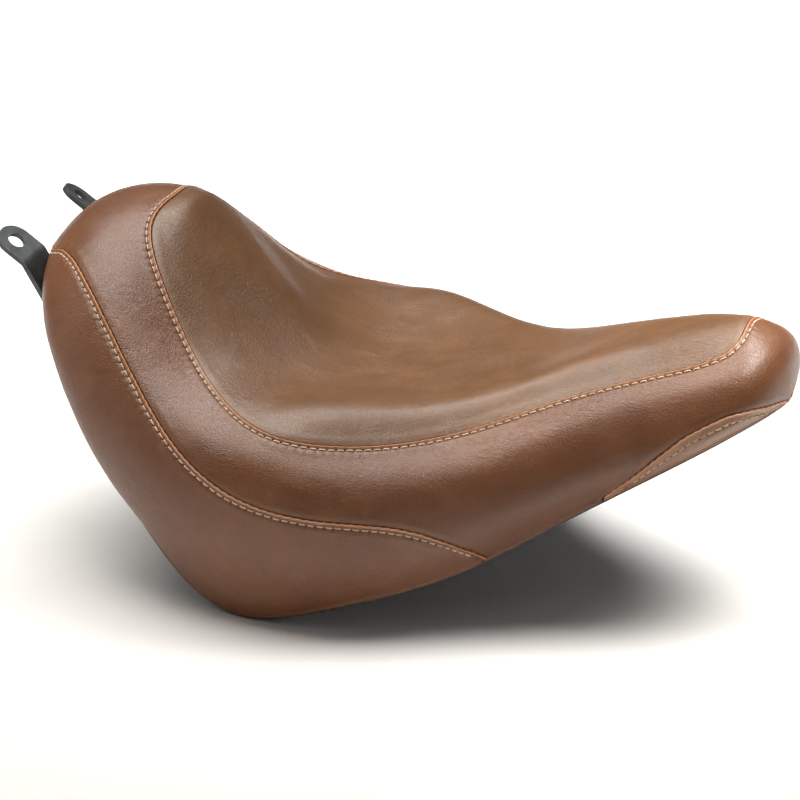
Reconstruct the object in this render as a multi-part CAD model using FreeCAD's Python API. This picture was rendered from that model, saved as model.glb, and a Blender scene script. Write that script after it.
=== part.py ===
import FreeCAD, Part
import math, os
from FreeCAD import Vector as V

os.makedirs("parts", exist_ok=True)

# Solo motorcycle seat: moulded pan, one-piece foam, sewn cover in five panels, two rear
# mounting tabs, a front tongue and four rubber bumpers.  Units are millimetres.
# +X points to the nose of the seat, +Y to the rider's left, +Z up.

# ---------------------------------------------------------------- driving dimensions
COVER_T = 1.5          # leather thickness
COVER_GAP = 0.5        # leather to foam
SEAM_GAP = 0.35        # half of the gap between two panels, along the surface
PAN_T = 3.0            # moulded pan wall
PAN_GAP = 0.4          # pan to foam, pan to hem
PAN_INSET = 6.5        # pan rim inboard of the hem line
HEM_T = 1.2            # turned-under margin of the cover
TRIM_W0, TRIM_W1 = 1.2, 11.0    # edge trim, inboard limits from the hem line
TRIM_D0, TRIM_D1 = 0.7, 3.4     # edge trim, limits below the hem line
THREAD_W, THREAD_H = 1.0, 0.6   # thread run, width and height
THREAD_SET = 3.9       # thread run to seam
THREAD_SET_NOSE = 6.6  # the nose seams carry a wider turned margin
TAB_T = 4.0            # rear bracket plate
TAB_W = 29.0
TAB_HOLE_R = 6.75
TAB_X, TAB_Y, TAB_Z = -288.6, 57.2, 108.6   # hole centre of the rear tabs
TAB_SLOPE = 33.5       # degrees, rises to the rear
TAB_ROLL = 12.0        # degrees, outer side lower
TAB_TO_BEND = 17.0     # hole centre to bend
TAB_BEND = 29.0        # degrees, leg steeper than tab
LEG_L = 92.0           # leg after the bend
LEG_HOLES = (58.0, 82.0)   # screw holes along the leg
TONGUE = [(206.0, 21.0), (244.0, 29.4), (252.0, 24.6), (284.0, 27.6)]   # centre line, x and z
TONGUE_W = 26.0
BUMPERS = [(5.1, 0.52), (7.7, 0.55)]       # station and distance up the pan wall
TACKS = [0.0, 0.55, 2.15, 2.6, 3.05, 3.5, 4.1, 4.7, 5.3, 5.9, 6.5, 7.1, 7.7, 8.3, 8.9, 9.5, 10.2, 11.0]
SHIFT_X, SHIFT_Z = -1.90, 118.98
SCREW_R = 3.0          # bracket screws, M6
BUMPER_R = 11.0

# Closed rings around the seat, right half, twelve stations each from the centre of the
# rear edge to the centre of the nose.  First ring is the hem, last one the centre line.
RINGS = [
    # hem line
    [(-237.0, 0.0, 77.5), (-236.0, -58.5, 71.4), (-224.8, -87.6, 34.0), (-188.8, -118.9, -26.0), (-131.0, -148.2, -84.8), (-65.0, -167.7, -115.5), (12.5, -169.9, -97.9), (89.0, -141.8, -74.1), (161.1, -101.0, -36.5), (228.0, -77.7, 3.1), (281.4, -52.2, 33.9), (303.7, 0.0, 43.4)],
    # lower side
    [(-255.5, 0.0, 85.4), (-249.0, -62.4, 80.0), (-231.3, -104.0, 42.5), (-191.5, -142.4, -12.7), (-126.9, -170.7, -60.3), (-54.1, -184.7, -84.6), (19.7, -181.7, -74.7), (93.4, -150.4, -53.5), (164.5, -108.0, -21.9), (234.3, -84.1, 14.3), (286.6, -56.6, 42.9), (304.8, 0.0, 52.5)],
    # widest line
    [(-270.2, 0.0, 100.2), (-260.2, -66.4, 94.2), (-234.7, -115.9, 60.0), (-185.1, -152.8, 12.7), (-117.2, -184.9, -27.2), (-45.6, -196.9, -42.2), (27.4, -189.1, -41.1), (97.0, -152.7, -28.5), (167.0, -112.1, 0.8), (237.2, -86.7, 32.4), (289.4, -57.2, 56.9), (305.5, 0.0, 66.6)],
    # shoulder
    [(-236.8, 0.0, 134.4), (-228.9, -60.9, 123.3), (-201.9, -108.2, 95.5), (-160.4, -144.1, 54.2), (-103.0, -176.7, 17.7), (-35.4, -190.3, 2.8), (33.7, -176.9, -0.7), (99.0, -136.9, 7.2), (162.4, -96.9, 34.4), (233.3, -74.0, 59.1), (283.7, -49.9, 76.6), (296.8, 0.0, 86.4)],
    # insert seam
    [(-179.3, 0.0, 142.4), (-181.0, -44.7, 132.0), (-156.7, -80.5, 99.3), (-121.2, -109.3, 60.0), (-79.0, -144.1, 37.3), (-27.2, -165.6, 25.6), (36.0, -142.3, 20.4), (96.3, -102.4, 27.9), (157.3, -71.1, 48.8), (223.6, -55.8, 71.2), (267.5, -34.9, 87.3), (272.0, 0.0, 99.4)],
    # insert roll
    [(-159.8, 0.0, 137.7), (-154.5, -39.2, 123.7), (-132.2, -64.0, 91.3), (-97.4, -87.7, 55.9), (-58.1, -112.3, 39.2), (-14.3, -125.8, 41.4), (42.8, -106.9, 38.1), (100.1, -76.1, 45.2), (158.6, -50.6, 64.1), (216.6, -37.0, 82.4), (250.1, -22.9, 94.0), (255.6, 0.0, 98.7)],
    # insert dish
    [(-127.2, 0.0, 104.9), (-121.0, -22.9, 96.7), (-101.6, -39.2, 70.5), (-68.9, -51.0, 45.6), (-34.3, -60.2, 32.9), (3.3, -60.8, 31.6), (53.2, -52.7, 36.1), (103.6, -38.9, 48.1), (158.8, -28.0, 69.5), (203.3, -20.7, 84.5), (224.3, -11.2, 91.2), (231.8, 0.0, 93.7)],
    # centre line
    [(-87.7, 0.0, 67.2), (-81.2, 0.0, 61.8), (-63.7, 0.0, 47.7), (-42.2, 0.0, 35.8), (-16.5, 0.0, 29.3), (15.2, 0.0, 29.1), (57.3, 0.0, 34.4), (105.9, 0.0, 46.6), (151.9, 0.0, 66.1), (188.2, 0.0, 79.8), (203.2, 0.0, 83.5), (209.7, 0.0, 84.9)],
]

# Where the skirt seam and the nose seam run: (station, ring) pairs.
SKIRT_SEAM = [(0.0, 2.10), (0.4, 2.14), (0.78, 2.285), (1.12, 2.672), (1.48, 2.874),
              (1.86, 2.973), (2.26, 3.033), (2.68, 3.061), (3.10, 3.052), (3.52, 3.0),
              (3.95, 2.893), (4.38, 2.737), (4.80, 2.586), (5.22, 2.491), (5.62, 2.444),
              (6.01, 2.398), (6.36, 2.294), (6.69, 2.047), (6.98, 1.567), (7.22, 0.765),
              (7.38, 0.0)]
NOSE_SEAM = [(8.42, 0.0), (8.50, 0.25), (8.59, 0.52), (8.70, 0.88), (8.82, 1.25), (9.0, 1.62),
             (9.28, 1.91), (9.64, 1.975), (10.04, 1.651), (10.43, 0.961), (10.78, 0.30),
             (10.92, 0.0)]
# Centre line of the pan, over the fender at the rear and the frame tube in front.
PAN_SPINE = [(-218.0, 50.0), (-208.0, 42.5), (-180.0, 22.5), (-138.0, 0.0), (-86.0, -14.0),
             (-28.0, -20.0), (38.0, -17.0), (104.0, -3.0), (168.0, 16.0), (222.0, 29.0),
             (258.0, 36.5), (270.0, 39.0)]

NU, NV = 12, 8

# ---------------------------------------------------------------- spline arithmetic
def inverse(a):
    n = len(a)
    m = [list(map(float, a[i])) + [1.0 if i == j else 0.0 for j in range(n)] for i in range(n)]
    for c in range(n):
        p = max(range(c, n), key=lambda r: abs(m[r][c]))
        m[c], m[p] = m[p], m[c]
        d = m[c][c]
        m[c] = [x / d for x in m[c]]
        for r in range(n):
            if r != c and m[r][c] != 0.0:
                f = m[r][c]
                m[r] = [x - f * y for x, y in zip(m[r], m[c])]
    return [row[n:] for row in m]


def basis(t):
    return ((1 - t) ** 3 / 6.0, (3 * t ** 3 - 6 * t ** 2 + 4) / 6.0,
            (-3 * t ** 3 + 3 * t ** 2 + 3 * t + 1) / 6.0, t ** 3 / 6.0)


def mirror(p):
    return (p[0], -p[1], p[2])


N_PER = 2 * NU - 2
N_ACR = 2 * NV - 1


def periodic(row):
    """Twelve right-hand stations to the full loop of twenty-two."""
    return list(row) + [mirror(row[j]) for j in range(NU - 2, 0, -1)]


CYC = [[0.0] * N_PER for _ in range(N_PER)]
for _i in range(N_PER):
    CYC[_i][_i] = 4 / 6.0
    CYC[_i][(_i + 1) % N_PER] += 1 / 6.0
    CYC[_i][(_i - 1) % N_PER] += 1 / 6.0
CYC_I = inverse(CYC)
NAT = [[0.0] * N_ACR for _ in range(N_ACR)]
for _i in range(N_ACR):
    if _i in (0, N_ACR - 1):
        NAT[_i][_i] = 1.0
    else:
        NAT[_i][_i] = 4 / 6.0
        NAT[_i][_i - 1] = 1 / 6.0
        NAT[_i][_i + 1] = 1 / 6.0
NAT_I = inverse(NAT)


def cyc_coefs(row):
    return [tuple(sum(CYC_I[i][j] * row[j][c] for j in range(N_PER)) for c in range(3))
            for i in range(N_PER)]


_rows = [periodic(r) for r in RINGS]
_full = _rows[:-1] + [_rows[-1]] + [[r[(-j) % N_PER] for j in range(N_PER)]
                                    for r in reversed(_rows[:-1])]
_cu = [cyc_coefs(r) for r in _full]
COEF = [[tuple(sum(NAT_I[k][m] * _cu[m][j][c] for m in range(N_ACR)) for c in range(3))
         for j in range(N_PER)] for k in range(N_ACR)]
# one phantom row below the hem line keeps the end natural
COEF = [[tuple(2 * COEF[0][j][c] - COEF[1][j][c] for c in range(3)) for j in range(N_PER)]] + COEF


def point(u, v):
    """Outer surface of the cover."""
    iu = math.floor(u)
    bu = basis(u - iu)
    iv = min(max(int(math.floor(v)), 0), N_ACR - 2)
    bv = basis(v - iv)
    x = y = z = 0.0
    for a in range(4):
        row = COEF[iv + a]
        wa = bv[a]
        for b in range(4):
            c = row[(iu - 1 + b) % N_PER]
            w = wa * bu[b]
            x += w * c[0]
            y += w * c[1]
            z += w * c[2]
    return (x, y, z)


def sub(a, b):
    return (a[0] - b[0], a[1] - b[1], a[2] - b[2])


def add(a, b, k=1.0):
    return (a[0] + k * b[0], a[1] + k * b[1], a[2] + k * b[2])


def cross(a, b):
    return (a[1] * b[2] - a[2] * b[1], a[2] * b[0] - a[0] * b[2], a[0] * b[1] - a[1] * b[0])


def dot(a, b):
    return a[0] * b[0] + a[1] * b[1] + a[2] * b[2]


def unit(a):
    n = math.sqrt(dot(a, a)) or 1.0
    return (a[0] / n, a[1] / n, a[2] / n)


def dist(a, b):
    d = sub(a, b)
    return math.sqrt(dot(d, d))


def on_plane(u):
    return abs(u) < 1e-9 or abs(u - (NU - 1)) < 1e-9


H = 0.02


def normal(u, v):
    """Outward unit normal of the cover."""
    vv = v
    if v > 6.9 and (u < 0.1 or u > 10.9):
        vv = 6.9
    du = sub(point(u + H, vv), point(u - H, vv))
    lo = max(vv - H, 0.0)
    dv = sub(point(u, vv + H), point(u, lo))
    n = unit(cross(du, dv))
    if on_plane(u) or v >= NV - 1 - 1e-9:
        n = unit((n[0], 0.0, n[2]))
    return n


def per_v(u, v):
    """Millimetres of surface per unit of ring number."""
    v = min(max(v, 0.05), 6.95)
    return dist(point(u, v + 0.05), point(u, v - 0.05)) / 0.1


def table(tab, x):
    """Monotone cubic through (x, y) pairs."""
    n = len(tab)
    if x <= tab[0][0]:
        return tab[0][1]
    if x >= tab[-1][0]:
        return tab[-1][1]
    h = [tab[i + 1][0] - tab[i][0] for i in range(n - 1)]
    d = [(tab[i + 1][1] - tab[i][1]) / h[i] for i in range(n - 1)]
    m = [d[0]] + [0.0 if d[i - 1] * d[i] <= 0 else 2 * d[i - 1] * d[i] / (d[i - 1] + d[i])
                  for i in range(1, n - 1)] + [d[-1]]
    for i in range(n - 1):
        if x <= tab[i + 1][0]:
            t = (x - tab[i][0]) / h[i]
            a, b = tab[i][1], tab[i + 1][1]
            return ((2 * t ** 3 - 3 * t ** 2 + 1) * a + (t ** 3 - 2 * t ** 2 + t) * h[i] * m[i]
                    + (-2 * t ** 3 + 3 * t ** 2) * b + (t ** 3 - t ** 2) * h[i] * m[i + 1])


# ---------------------------------------------------------------- the underside
_pf = cyc_coefs(periodic([(p[0], 0.0, p[1]) for p in PAN_SPINE]))


def spine(u):
    iu = math.floor(u)
    bu = basis(u - iu)
    x = z = 0.0
    for b in range(4):
        c = _pf[(iu - 1 + b) % N_PER]
        x += bu[b] * c[0]
        z += bu[b] * c[2]
    return (x, 0.0, z)


def hem_frame(u):
    """Hem-line point with its horizontal outward and its downward directions."""
    p = point(u, 0.0)
    t = unit(sub(point(u + H, 0.0), point(u - H, 0.0)))
    n = unit(cross(t, (0.0, 0.0, 1.0)))
    if dot(n, sub(p, (0.0, 0.0, p[2]))) < 0:
        n = (-n[0], -n[1], -n[2])
    if on_plane(u):
        n = (-1.0 if u < 1 else 1.0, 0.0, 0.0)
        t = (0.0, -1.0 if u < 1 else 1.0, 0.0)
    d = unit(cross(t, n))
    if d[2] > 0:
        d = (-d[0], -d[1], -d[2])
    return p, n, d


def rim(u):
    p, n, d = hem_frame(u)
    return add(p, n, -PAN_INSET)


def under(u, w):
    """Underside of the pan: w = 0 at the rim, 1 on the centre line."""
    a = rim(u)
    c = spine(u)
    s = min(1.0, (abs(a[1]) / 95.0) ** 1.5)
    th = w * math.pi / 2
    kz = s * math.sin(th) + (1 - s) * w
    ky = s * (1 - math.cos(th)) + (1 - s) * w
    return (a[0] + (c[0] - a[0]) * w, a[1] * (1 - ky), a[2] + (c[2] - a[2]) * kz)


def under_normal(u, w):
    """Unit normal of the pan towards the foam."""
    ww = min(w, 0.985) if (u < 0.3 or u > 10.7) else w
    lo, hi = max(ww - H, 0.0), min(ww + H, 1.0)
    du = sub(under(u + H, ww), under(u - H, ww))
    dw = sub(under(u, hi), under(u, lo))
    n = unit(cross(du, dw))
    if on_plane(u) or w >= 1 - 1e-9:
        n = unit((n[0], 0.0, n[2]))
    return n


# ---------------------------------------------------------------- faces and solids
def natural(d):
    """Clamped cubic poles through evenly numbered points."""
    n = len(d)
    if n == 2:
        return list(d)
    a = [4.0 / 6] * (n - 2)
    r = [list(d[i]) for i in range(1, n - 1)]
    for c in range(3):
        r[0][c] -= d[0][c] / 6.0
        r[-1][c] -= d[-1][c] / 6.0
    for i in range(1, n - 2):
        f = (1 / 6.0) / a[i - 1]
        a[i] -= f / 6.0
        for c in range(3):
            r[i][c] -= f * r[i - 1][c]
    x = [None] * (n - 2)
    x[-1] = tuple(r[-1][c] / a[-1] for c in range(3))
    for i in range(n - 4, -1, -1):
        x[i] = tuple((r[i][c] - x[i + 1][c] / 6.0) / a[i] for c in range(3))
    c0, c1, cm, cn = d[0], x[0], x[-1], d[-1]
    p1 = tuple((2 * c0[k] + c1[k]) / 3.0 for k in range(3))
    p2 = tuple((cm[k] + 2 * cn[k]) / 3.0 for k in range(3))
    return [tuple(d[0]), p1] + list(x) + [p2, tuple(d[-1])]


def knots(n):
    if n == 2:
        return [0.0, 1.0], [2, 2], 1
    return [float(i) for i in range(n)], [4] + [1] * (n - 2) + [4], 3


def face(grid, flip=False):
    """Spline face through grid[i][j]; two points in a direction give a ruled face."""
    if flip:
        grid = [[mirror(p) for p in row] for row in grid]
    nu, nv = len(grid), len(grid[0])
    rows = [natural(r) for r in grid]
    m = len(rows[0])
    cols = [natural([rows[i][j] for i in range(nu)]) for j in range(m)]
    poles = [[V(*cols[j][i]) for j in range(m)] for i in range(len(cols[0]))]
    ku, mu, pu = knots(nu)
    kv, mv, pv = knots(nv)
    s = Part.BSplineSurface()
    s.buildFromPolesMultsKnots(poles, mu, mv, ku, kv, False, False, pu, pv)
    return s.toShape()


def solid(faces, name=""):
    c = Part.Compound(faces)
    c.sewShape(2e-3)
    shells = c.Shells
    if len(shells) != 1:
        raise RuntimeError("%s: %d shells" % (name, len(shells)))
    s = Part.Solid(shells[0])
    if s.Volume < 0:
        s.reverse()
    if not s.isValid() or not s.isClosed():
        print(name, "valid", s.isValid(), "closed", s.isClosed())
    return s


def steps(a, b, step):
    n = max(3, int(round((b - a) / step)))
    return [a + (b - a) * i / n for i in range(n + 1)]


def box_between(outer, inner, sides, both=True, caps=()):
    """Faces of a shell between two equal grids.  sides: 'lo', 'hi' of the second index;
    caps: 'a', 'b' ends of the first index.  Right half, and its mirror when both."""
    fs = []
    for flip in ((False, True) if both else (False,)):
        fs.append(face(outer, flip))
        fs.append(face(inner, flip))
        for s in sides:
            j = 0 if s == "lo" else -1
            fs.append(face([[outer[i][j], inner[i][j]] for i in range(len(outer))], flip))
        for s in caps:
            i = 0 if s == "a" else -1
            fs.append(face([outer[i], inner[i]], flip))
    return fs


def cover_grid(us, lo, hi, nv, off):
    g = []
    for u in us:
        a, b = lo(u), hi(u)
        row = []
        for j in range(nv + 1):
            v = a + (b - a) * j / nv
            p = point(u, v)
            if off:
                p = add(p, normal(u, v), off)
            if on_plane(u) or v >= NV - 1 - 1e-9:
                p = (p[0], 0.0, p[2])
            row.append(p)
        g.append(row)
    return g


NODES = {}


def seam_off(u, v, mm):
    return mm / per_v(u, v)


S1 = 4.0
mid = lambda u: float(NV - 1)

# seat insert: the dished centre panel
lo = lambda u: S1 + seam_off(u, S1, SEAM_GAP)
us = steps(0, 11, 0.25)
NODES["cover_seat_insert"] = solid(
    box_between(cover_grid(us, lo, mid, 14, 0.0), cover_grid(us, lo, mid, 14, -COVER_T), ["lo"]),
    "insert")

# side band: the rolled border from the insert seam down to the lower seams
def skirt_v(u):
    return table(SKIRT_SEAM, u)


def nose_v(u):
    return table(NOSE_SEAM, u)


U_SK = 7.30      # front end of the skirt panels
U_N0, U_N1 = 8.50, 10.86


def band_lo(u):
    if u <= 7.38:
        v = skirt_v(u)
        return v + seam_off(u, v, SEAM_GAP) * min(1.0, v / 0.3)
    if 8.42 < u < 10.92:
        v = nose_v(u)
        return v + seam_off(u, v, SEAM_GAP) * min(1.0, v / 0.25)
    return 0.0


band_hi = lambda u: S1 - seam_off(u, S1, SEAM_GAP)
faces = []
for a, b, st in ((0, 6.36, 0.25), (6.36, 7.38, 0.125), (7.38, 8.42, 0.25), (8.42, 9.28, 0.11),
                 (9.28, 10.43, 0.23), (10.43, 10.92, 0.12), (10.92, 11.0, 0.03)):
    us = steps(a, b, st)
    faces += box_between(cover_grid(us, band_lo, band_hi, 14, 0.0),
                         cover_grid(us, band_lo, band_hi, 14, -COVER_T), ["lo", "hi"])
NODES["cover_side_band"] = solid(faces, "band")

# skirt: one panel from flank to flank round the rear
sk_lo = lambda u: 0.0
sk_hi = lambda u: skirt_v(u) - seam_off(u, skirt_v(u), SEAM_GAP)
us = steps(0, 6.36, 0.25)
ub = steps(6.36, U_SK, 0.12)
faces = box_between(cover_grid(us, sk_lo, sk_hi, 9, 0.0), cover_grid(us, sk_lo, sk_hi, 9, -COVER_T),
                    ["lo", "hi"])
faces += box_between(cover_grid(ub, sk_lo, sk_hi, 9, 0.0), cover_grid(ub, sk_lo, sk_hi, 9, -COVER_T),
                     ["lo", "hi"], caps=("b",))
NODES["cover_skirt"] = solid(faces, "skirt")

# nose gussets: small lens-shaped panels under each side of the nose
gu_hi = lambda u: nose_v(u) - seam_off(u, nose_v(u), SEAM_GAP)
us = steps(U_N0, U_N1, 0.12)
for side, flip in (("right", False), ("left", True)):
    o, i = cover_grid(us, sk_lo, gu_hi, 6, 0.0), cover_grid(us, sk_lo, gu_hi, 6, -COVER_T)
    if flip:
        o = [[mirror(p) for p in r] for r in o]
        i = [[mirror(p) for p in r] for r in i]
    NODES["cover_nose_gusset_" + side] = solid(
        box_between(o, i, ["lo", "hi"], both=False, caps=("a", "b")), "gusset")


# threads: the sewn runs beside each seam, standing just proud of the leather
def ribbon(us, vf, both, ends, flip=False):
    """Thread run along v = vf(u)."""
    def strip(off):
        g = []
        for u in us:
            v = vf(u)
            dv = seam_off(u, v, THREAD_W / 2)
            row = []
            for s in (-1, 0, 1):
                p = add(point(u, v + s * dv), normal(u, v + s * dv), off)
                if on_plane(u):
                    p = (p[0], 0.0, p[2])
                row.append(mirror(p) if flip else p)
            g.append(row)
        return g
    o, i = strip(0.3 + THREAD_H), strip(0.3)
    # straight cross-section: keep the two edges only
    o = [[r[0], r[2]] for r in o]
    i = [[r[0], r[2]] for r in i]
    return solid(box_between(o, i, ["lo", "hi"], both=both, caps=ends), "thread")


NODES["thread_insert_seam"] = ribbon(steps(0, 11, 0.125), lambda u: S1 - seam_off(u, S1, THREAD_SET),
                                     True, ())
NODES["thread_skirt_seam"] = ribbon(steps(0, 7.16, 0.125),
                                    lambda u: skirt_v(u) - seam_off(u, skirt_v(u), THREAD_SET),
                                    True, ("b",))
for side, flip in (("right", False), ("left", True)):
    NODES["thread_nose_seam_" + side] = ribbon(
        steps(8.80, 10.56, 0.08), lambda u: nose_v(u) - seam_off(u, nose_v(u), THREAD_SET_NOSE),
        False, ("a", "b"), flip)

# foam: fills the cover down to the pan
us = steps(0, 11, 0.25)
off = -(COVER_T + COVER_GAP)
outer = cover_grid(us, lambda u: 0.0, mid, 26, off)


def pan_grid(us, w0, w1, n, off):
    g = []
    for u in us:
        row = []
        for j in range(n + 1):
            w = w0 + (w1 - w0) * j / n
            p = under(u, w)
            if off:
                p = add(p, under_normal(u, w), off)
            if on_plane(u) or w >= 1 - 1e-9:
                p = (p[0], 0.0, p[2])
            row.append(p)
        g.append(row)
    return g


below = pan_grid(us, 0.0, 1.0, 16, PAN_T + PAN_GAP)
faces = []
for flip in (False, True):
    faces.append(face(outer, flip))
    faces.append(face(below, flip))
    faces.append(face([[outer[i][0], below[i][0]] for i in range(len(us))], flip))
    # the two end gaps on the centre plane between the last rings are closed by the mirror half
foam_faces = faces
foam = solid(faces, "foam")

# pan
pan = solid(box_between(pan_grid(us, 0.0, 1.0, 16, PAN_T), pan_grid(us, 0.0, 1.0, 16, 0.0), ["lo"]),
            "pan")

# hem: margin of the cover, turned under and fixed inside the pan wall
def run_len(u):
    return sum(dist(under(u, k / 10.0), under(u, (k + 1) / 10.0)) for k in range(10))


def hem_w0(u):
    return 4.0 / run_len(u)


def hem_w1(u):
    return min(0.55, 19.0 / run_len(u))


def hem_grid(off):
    return [pan_grid([u], hem_w0(u), hem_w1(u), 4, off)[0] for u in us]


hem = solid(box_between(hem_grid(-PAN_GAP), hem_grid(-PAN_GAP - HEM_T), ["lo", "hi"]), "hem")

# edge trim: black rubber strip under the rim, the part that meets a bench top
def trim_line(w, d):
    g = []
    for u in us:
        p, n, dn = hem_frame(u)
        q = add(add(p, n, -w), dn, d)
        if on_plane(u):
            q = (q[0], 0.0, q[2])
        g.append(q)
    return g


c00, c10 = trim_line(TRIM_W0, TRIM_D0), trim_line(TRIM_W1, TRIM_D0)
c01, c11 = trim_line(TRIM_W0 + 0.6, TRIM_D1), trim_line(TRIM_W1, TRIM_D1)
faces = []
for flip in (False, True):
    for a, b in ((c00, c10), (c10, c11), (c11, c01), (c01, c00)):
        faces.append(face([[a[i], b[i]] for i in range(len(us))], flip))
trim = solid(faces, "trim")

# ---------------------------------------------------------------- hardware
def vec(a):
    return V(a[0], a[1], a[2])


def surface_hit(o, d, off, guess):
    """Where the line o + t d meets the pan surface lifted by off: returns t, u, w."""
    u, w = guess
    t = dot(sub(under(u, w), o), d)

    def f(u, w, t):
        return sub(add(under(u, w), under_normal(u, w), off), add(o, d, t))
    for _ in range(25):
        r = f(u, w, t)
        h = 1e-3
        ju = tuple(x / h for x in sub(f(u + h, w, t), r))
        jw = tuple(x / h for x in sub(f(u, w + h, t), r))
        jt = tuple(x / h for x in sub(f(u, w, t + h), r))
        det = dot(ju, cross(jw, jt))
        b = (-r[0], -r[1], -r[2])
        su = dot(b, cross(jw, jt)) / det
        sw = dot(ju, cross(b, jt)) / det
        st = dot(ju, cross(jw, b)) / det
        k = min(1.0, 0.3 / max(abs(su), abs(sw), 1e-9))
        u, w, t = u + k * su, min(max(w + k * sw, 0.0), 1.0), t + k * st
        if max(abs(su), abs(sw)) < 1e-7:
            break
    return t, u, w


def cyl(o, d, r, a, b):
    """Cylinder on the line o + t d from t = a to t = b."""
    return Part.makeCylinder(r, b - a, vec(add(o, d, a)), vec(d))


def hexagon(o, d, af, a, b):
    x = unit(cross(d, (0.0, 1.0, 0.0)))
    y = cross(d, x)
    r = af / math.sqrt(3)
    pts = []
    for k in range(7):
        q = add(o, d, a)
        q = add(q, x, r * math.cos(k * math.pi / 3))
        q = add(q, y, r * math.sin(k * math.pi / 3))
        pts.append(vec(q))
    return Part.Face(Part.makePolygon(pts)).extrude(vec(d) * (b - a))


def mirrored(s):
    return s.mirror(V(0, 0, 0), V(0, 1, 0))


pan_cut, foam_cut, hem_cut = [], [], []

# rear brackets: rounded tab, one bend, long leg under the pan
be, ph = math.radians(TAB_SLOPE), math.radians(TAB_ROLL)
e1 = (math.cos(be), 0.0, -math.sin(be))
n0 = (math.sin(be), 0.0, math.cos(be))
e2 = unit(add((0.0, -math.cos(ph), 0.0), n0, -math.sin(ph)))
nn = unit(add((n0[0] * math.cos(ph), 0.0, n0[2] * math.cos(ph)), (0.0, -1.0, 0.0), math.sin(ph)))
hole = (TAB_X, -TAB_Y, TAB_Z)
de = math.radians(TAB_BEND)


def brk(s, n, w=0.0):
    return add(add(add(hole, e1, s), nn, n), e2, w)


R = 7.0
s0 = TAB_TO_BEND - R * math.tan(de / 2)
hw = TAB_W / 2
e1b = unit(add((e1[0] * math.cos(de), e1[1] * math.cos(de), e1[2] * math.cos(de)), nn, -math.sin(de)))
n1b = unit(add((nn[0] * math.cos(de), nn[1] * math.cos(de), nn[2] * math.cos(de)), e1, math.sin(de)))


def bend(r, a):
    return brk(s0 + r * math.sin(a), -R + r * math.cos(a), -hw)


half = TAB_T / 2
o1, o2, o3 = bend(R + half, 0), bend(R + half, de / 2), bend(R + half, de)
i1, i2, i3 = bend(R - half, 0), bend(R - half, de / 2), bend(R - half, de)
o0, i0 = brk(0, half, -hw), brk(0, -half, -hw)
o4, i4 = add(o3, e1b, LEG_L), add(i3, e1b, LEG_L)
wire = Part.Wire([Part.makeLine(vec(o0), vec(o1)), Part.Arc(vec(o1), vec(o2), vec(o3)).toShape(),
                  Part.makeLine(vec(o3), vec(o4)), Part.makeLine(vec(o4), vec(i4)),
                  Part.makeLine(vec(i4), vec(i3)), Part.Arc(vec(i3), vec(i2), vec(i1)).toShape(),
                  Part.makeLine(vec(i1), vec(i0)), Part.makeLine(vec(i0), vec(o0))])
plate = Part.Face(wire).extrude(vec(e2) * TAB_W)
plate = plate.fuse(cyl(hole, nn, hw, -half, half)).removeSplitter()
ends = [e for e in plate.Edges if abs(e.Length - TAB_T) < 0.01
        and (e.CenterOfMass - vec(add(brk(TAB_TO_BEND, 0), e1b, LEG_L))).Length < hw + 3]
plate = plate.makeFillet(7.0, ends)
plate = plate.cut(cyl(hole, nn, TAB_HOLE_R, -10, 10))

screws, washers, spacers, nuts = [], [], [], []
mid_bend = add(brk(0, 0), e1, 0)
leg0 = add(add(brk(s0, -R), nn, R * math.cos(de)), e1, R * math.sin(de))
for t in LEG_HOLES:
    o = add(leg0, e1b, t)
    ta, ua, wa = surface_hit(o, n1b, 0.0, (1.3, 0.25))
    tb, _, _ = surface_hit(o, n1b, PAN_T, (ua, wa))
    print("bracket screw at", [round(x, 1) for x in o], "pan at", round(ta, 2), round(tb, 2), "u,w", round(ua, 2), round(wa, 2),
          "tilt", round(math.degrees(math.acos(dot(n1b, under_normal(ua, wa)))), 1))
    plate = plate.cut(cyl(o, n1b, SCREW_R + 0.4, -10, 10))
    wt = -half - 0.3
    washers.append(cyl(o, n1b, 7.0, wt - 1.6, wt).cut(cyl(o, n1b, SCREW_R + 0.35, -20, 20)))
    ht = wt - 1.6 - 0.3
    nut_a = tb + 1.4
    sc = cyl(o, n1b, SCREW_R, ht - 0.5, nut_a + 8.0).fuse(cyl(o, n1b, 5.25, ht - 3.3, ht))
    sc = sc.removeSplitter().cut(hexagon(o, n1b, 4.0, ht - 3.5, ht - 1.3))
    screws.append(sc)
    spacers.append(cyl(o, n1b, 8.0, half + 0.3, ta - 1.3).cut(cyl(o, n1b, SCREW_R + 0.4, -20, 40)))
    nuts.append(hexagon(o, n1b, 10.0, nut_a, nut_a + 5.0).cut(cyl(o, n1b, SCREW_R + 0.3, -20, 60)))
    pan_cut.append(cyl(o, n1b, SCREW_R + 0.7, ta - 6, tb + 6))
    foam_cut.append(cyl(o, n1b, 7.5, tb - 4, nut_a + 10.0))
    hem_cut.append(cyl(o, n1b, 9.5, ta - 14, ta + 8))      # hem notched round the spacer
NODES["rear_bracket_right"] = plate
NODES["rear_bracket_left"] = mirrored(plate)

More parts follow.
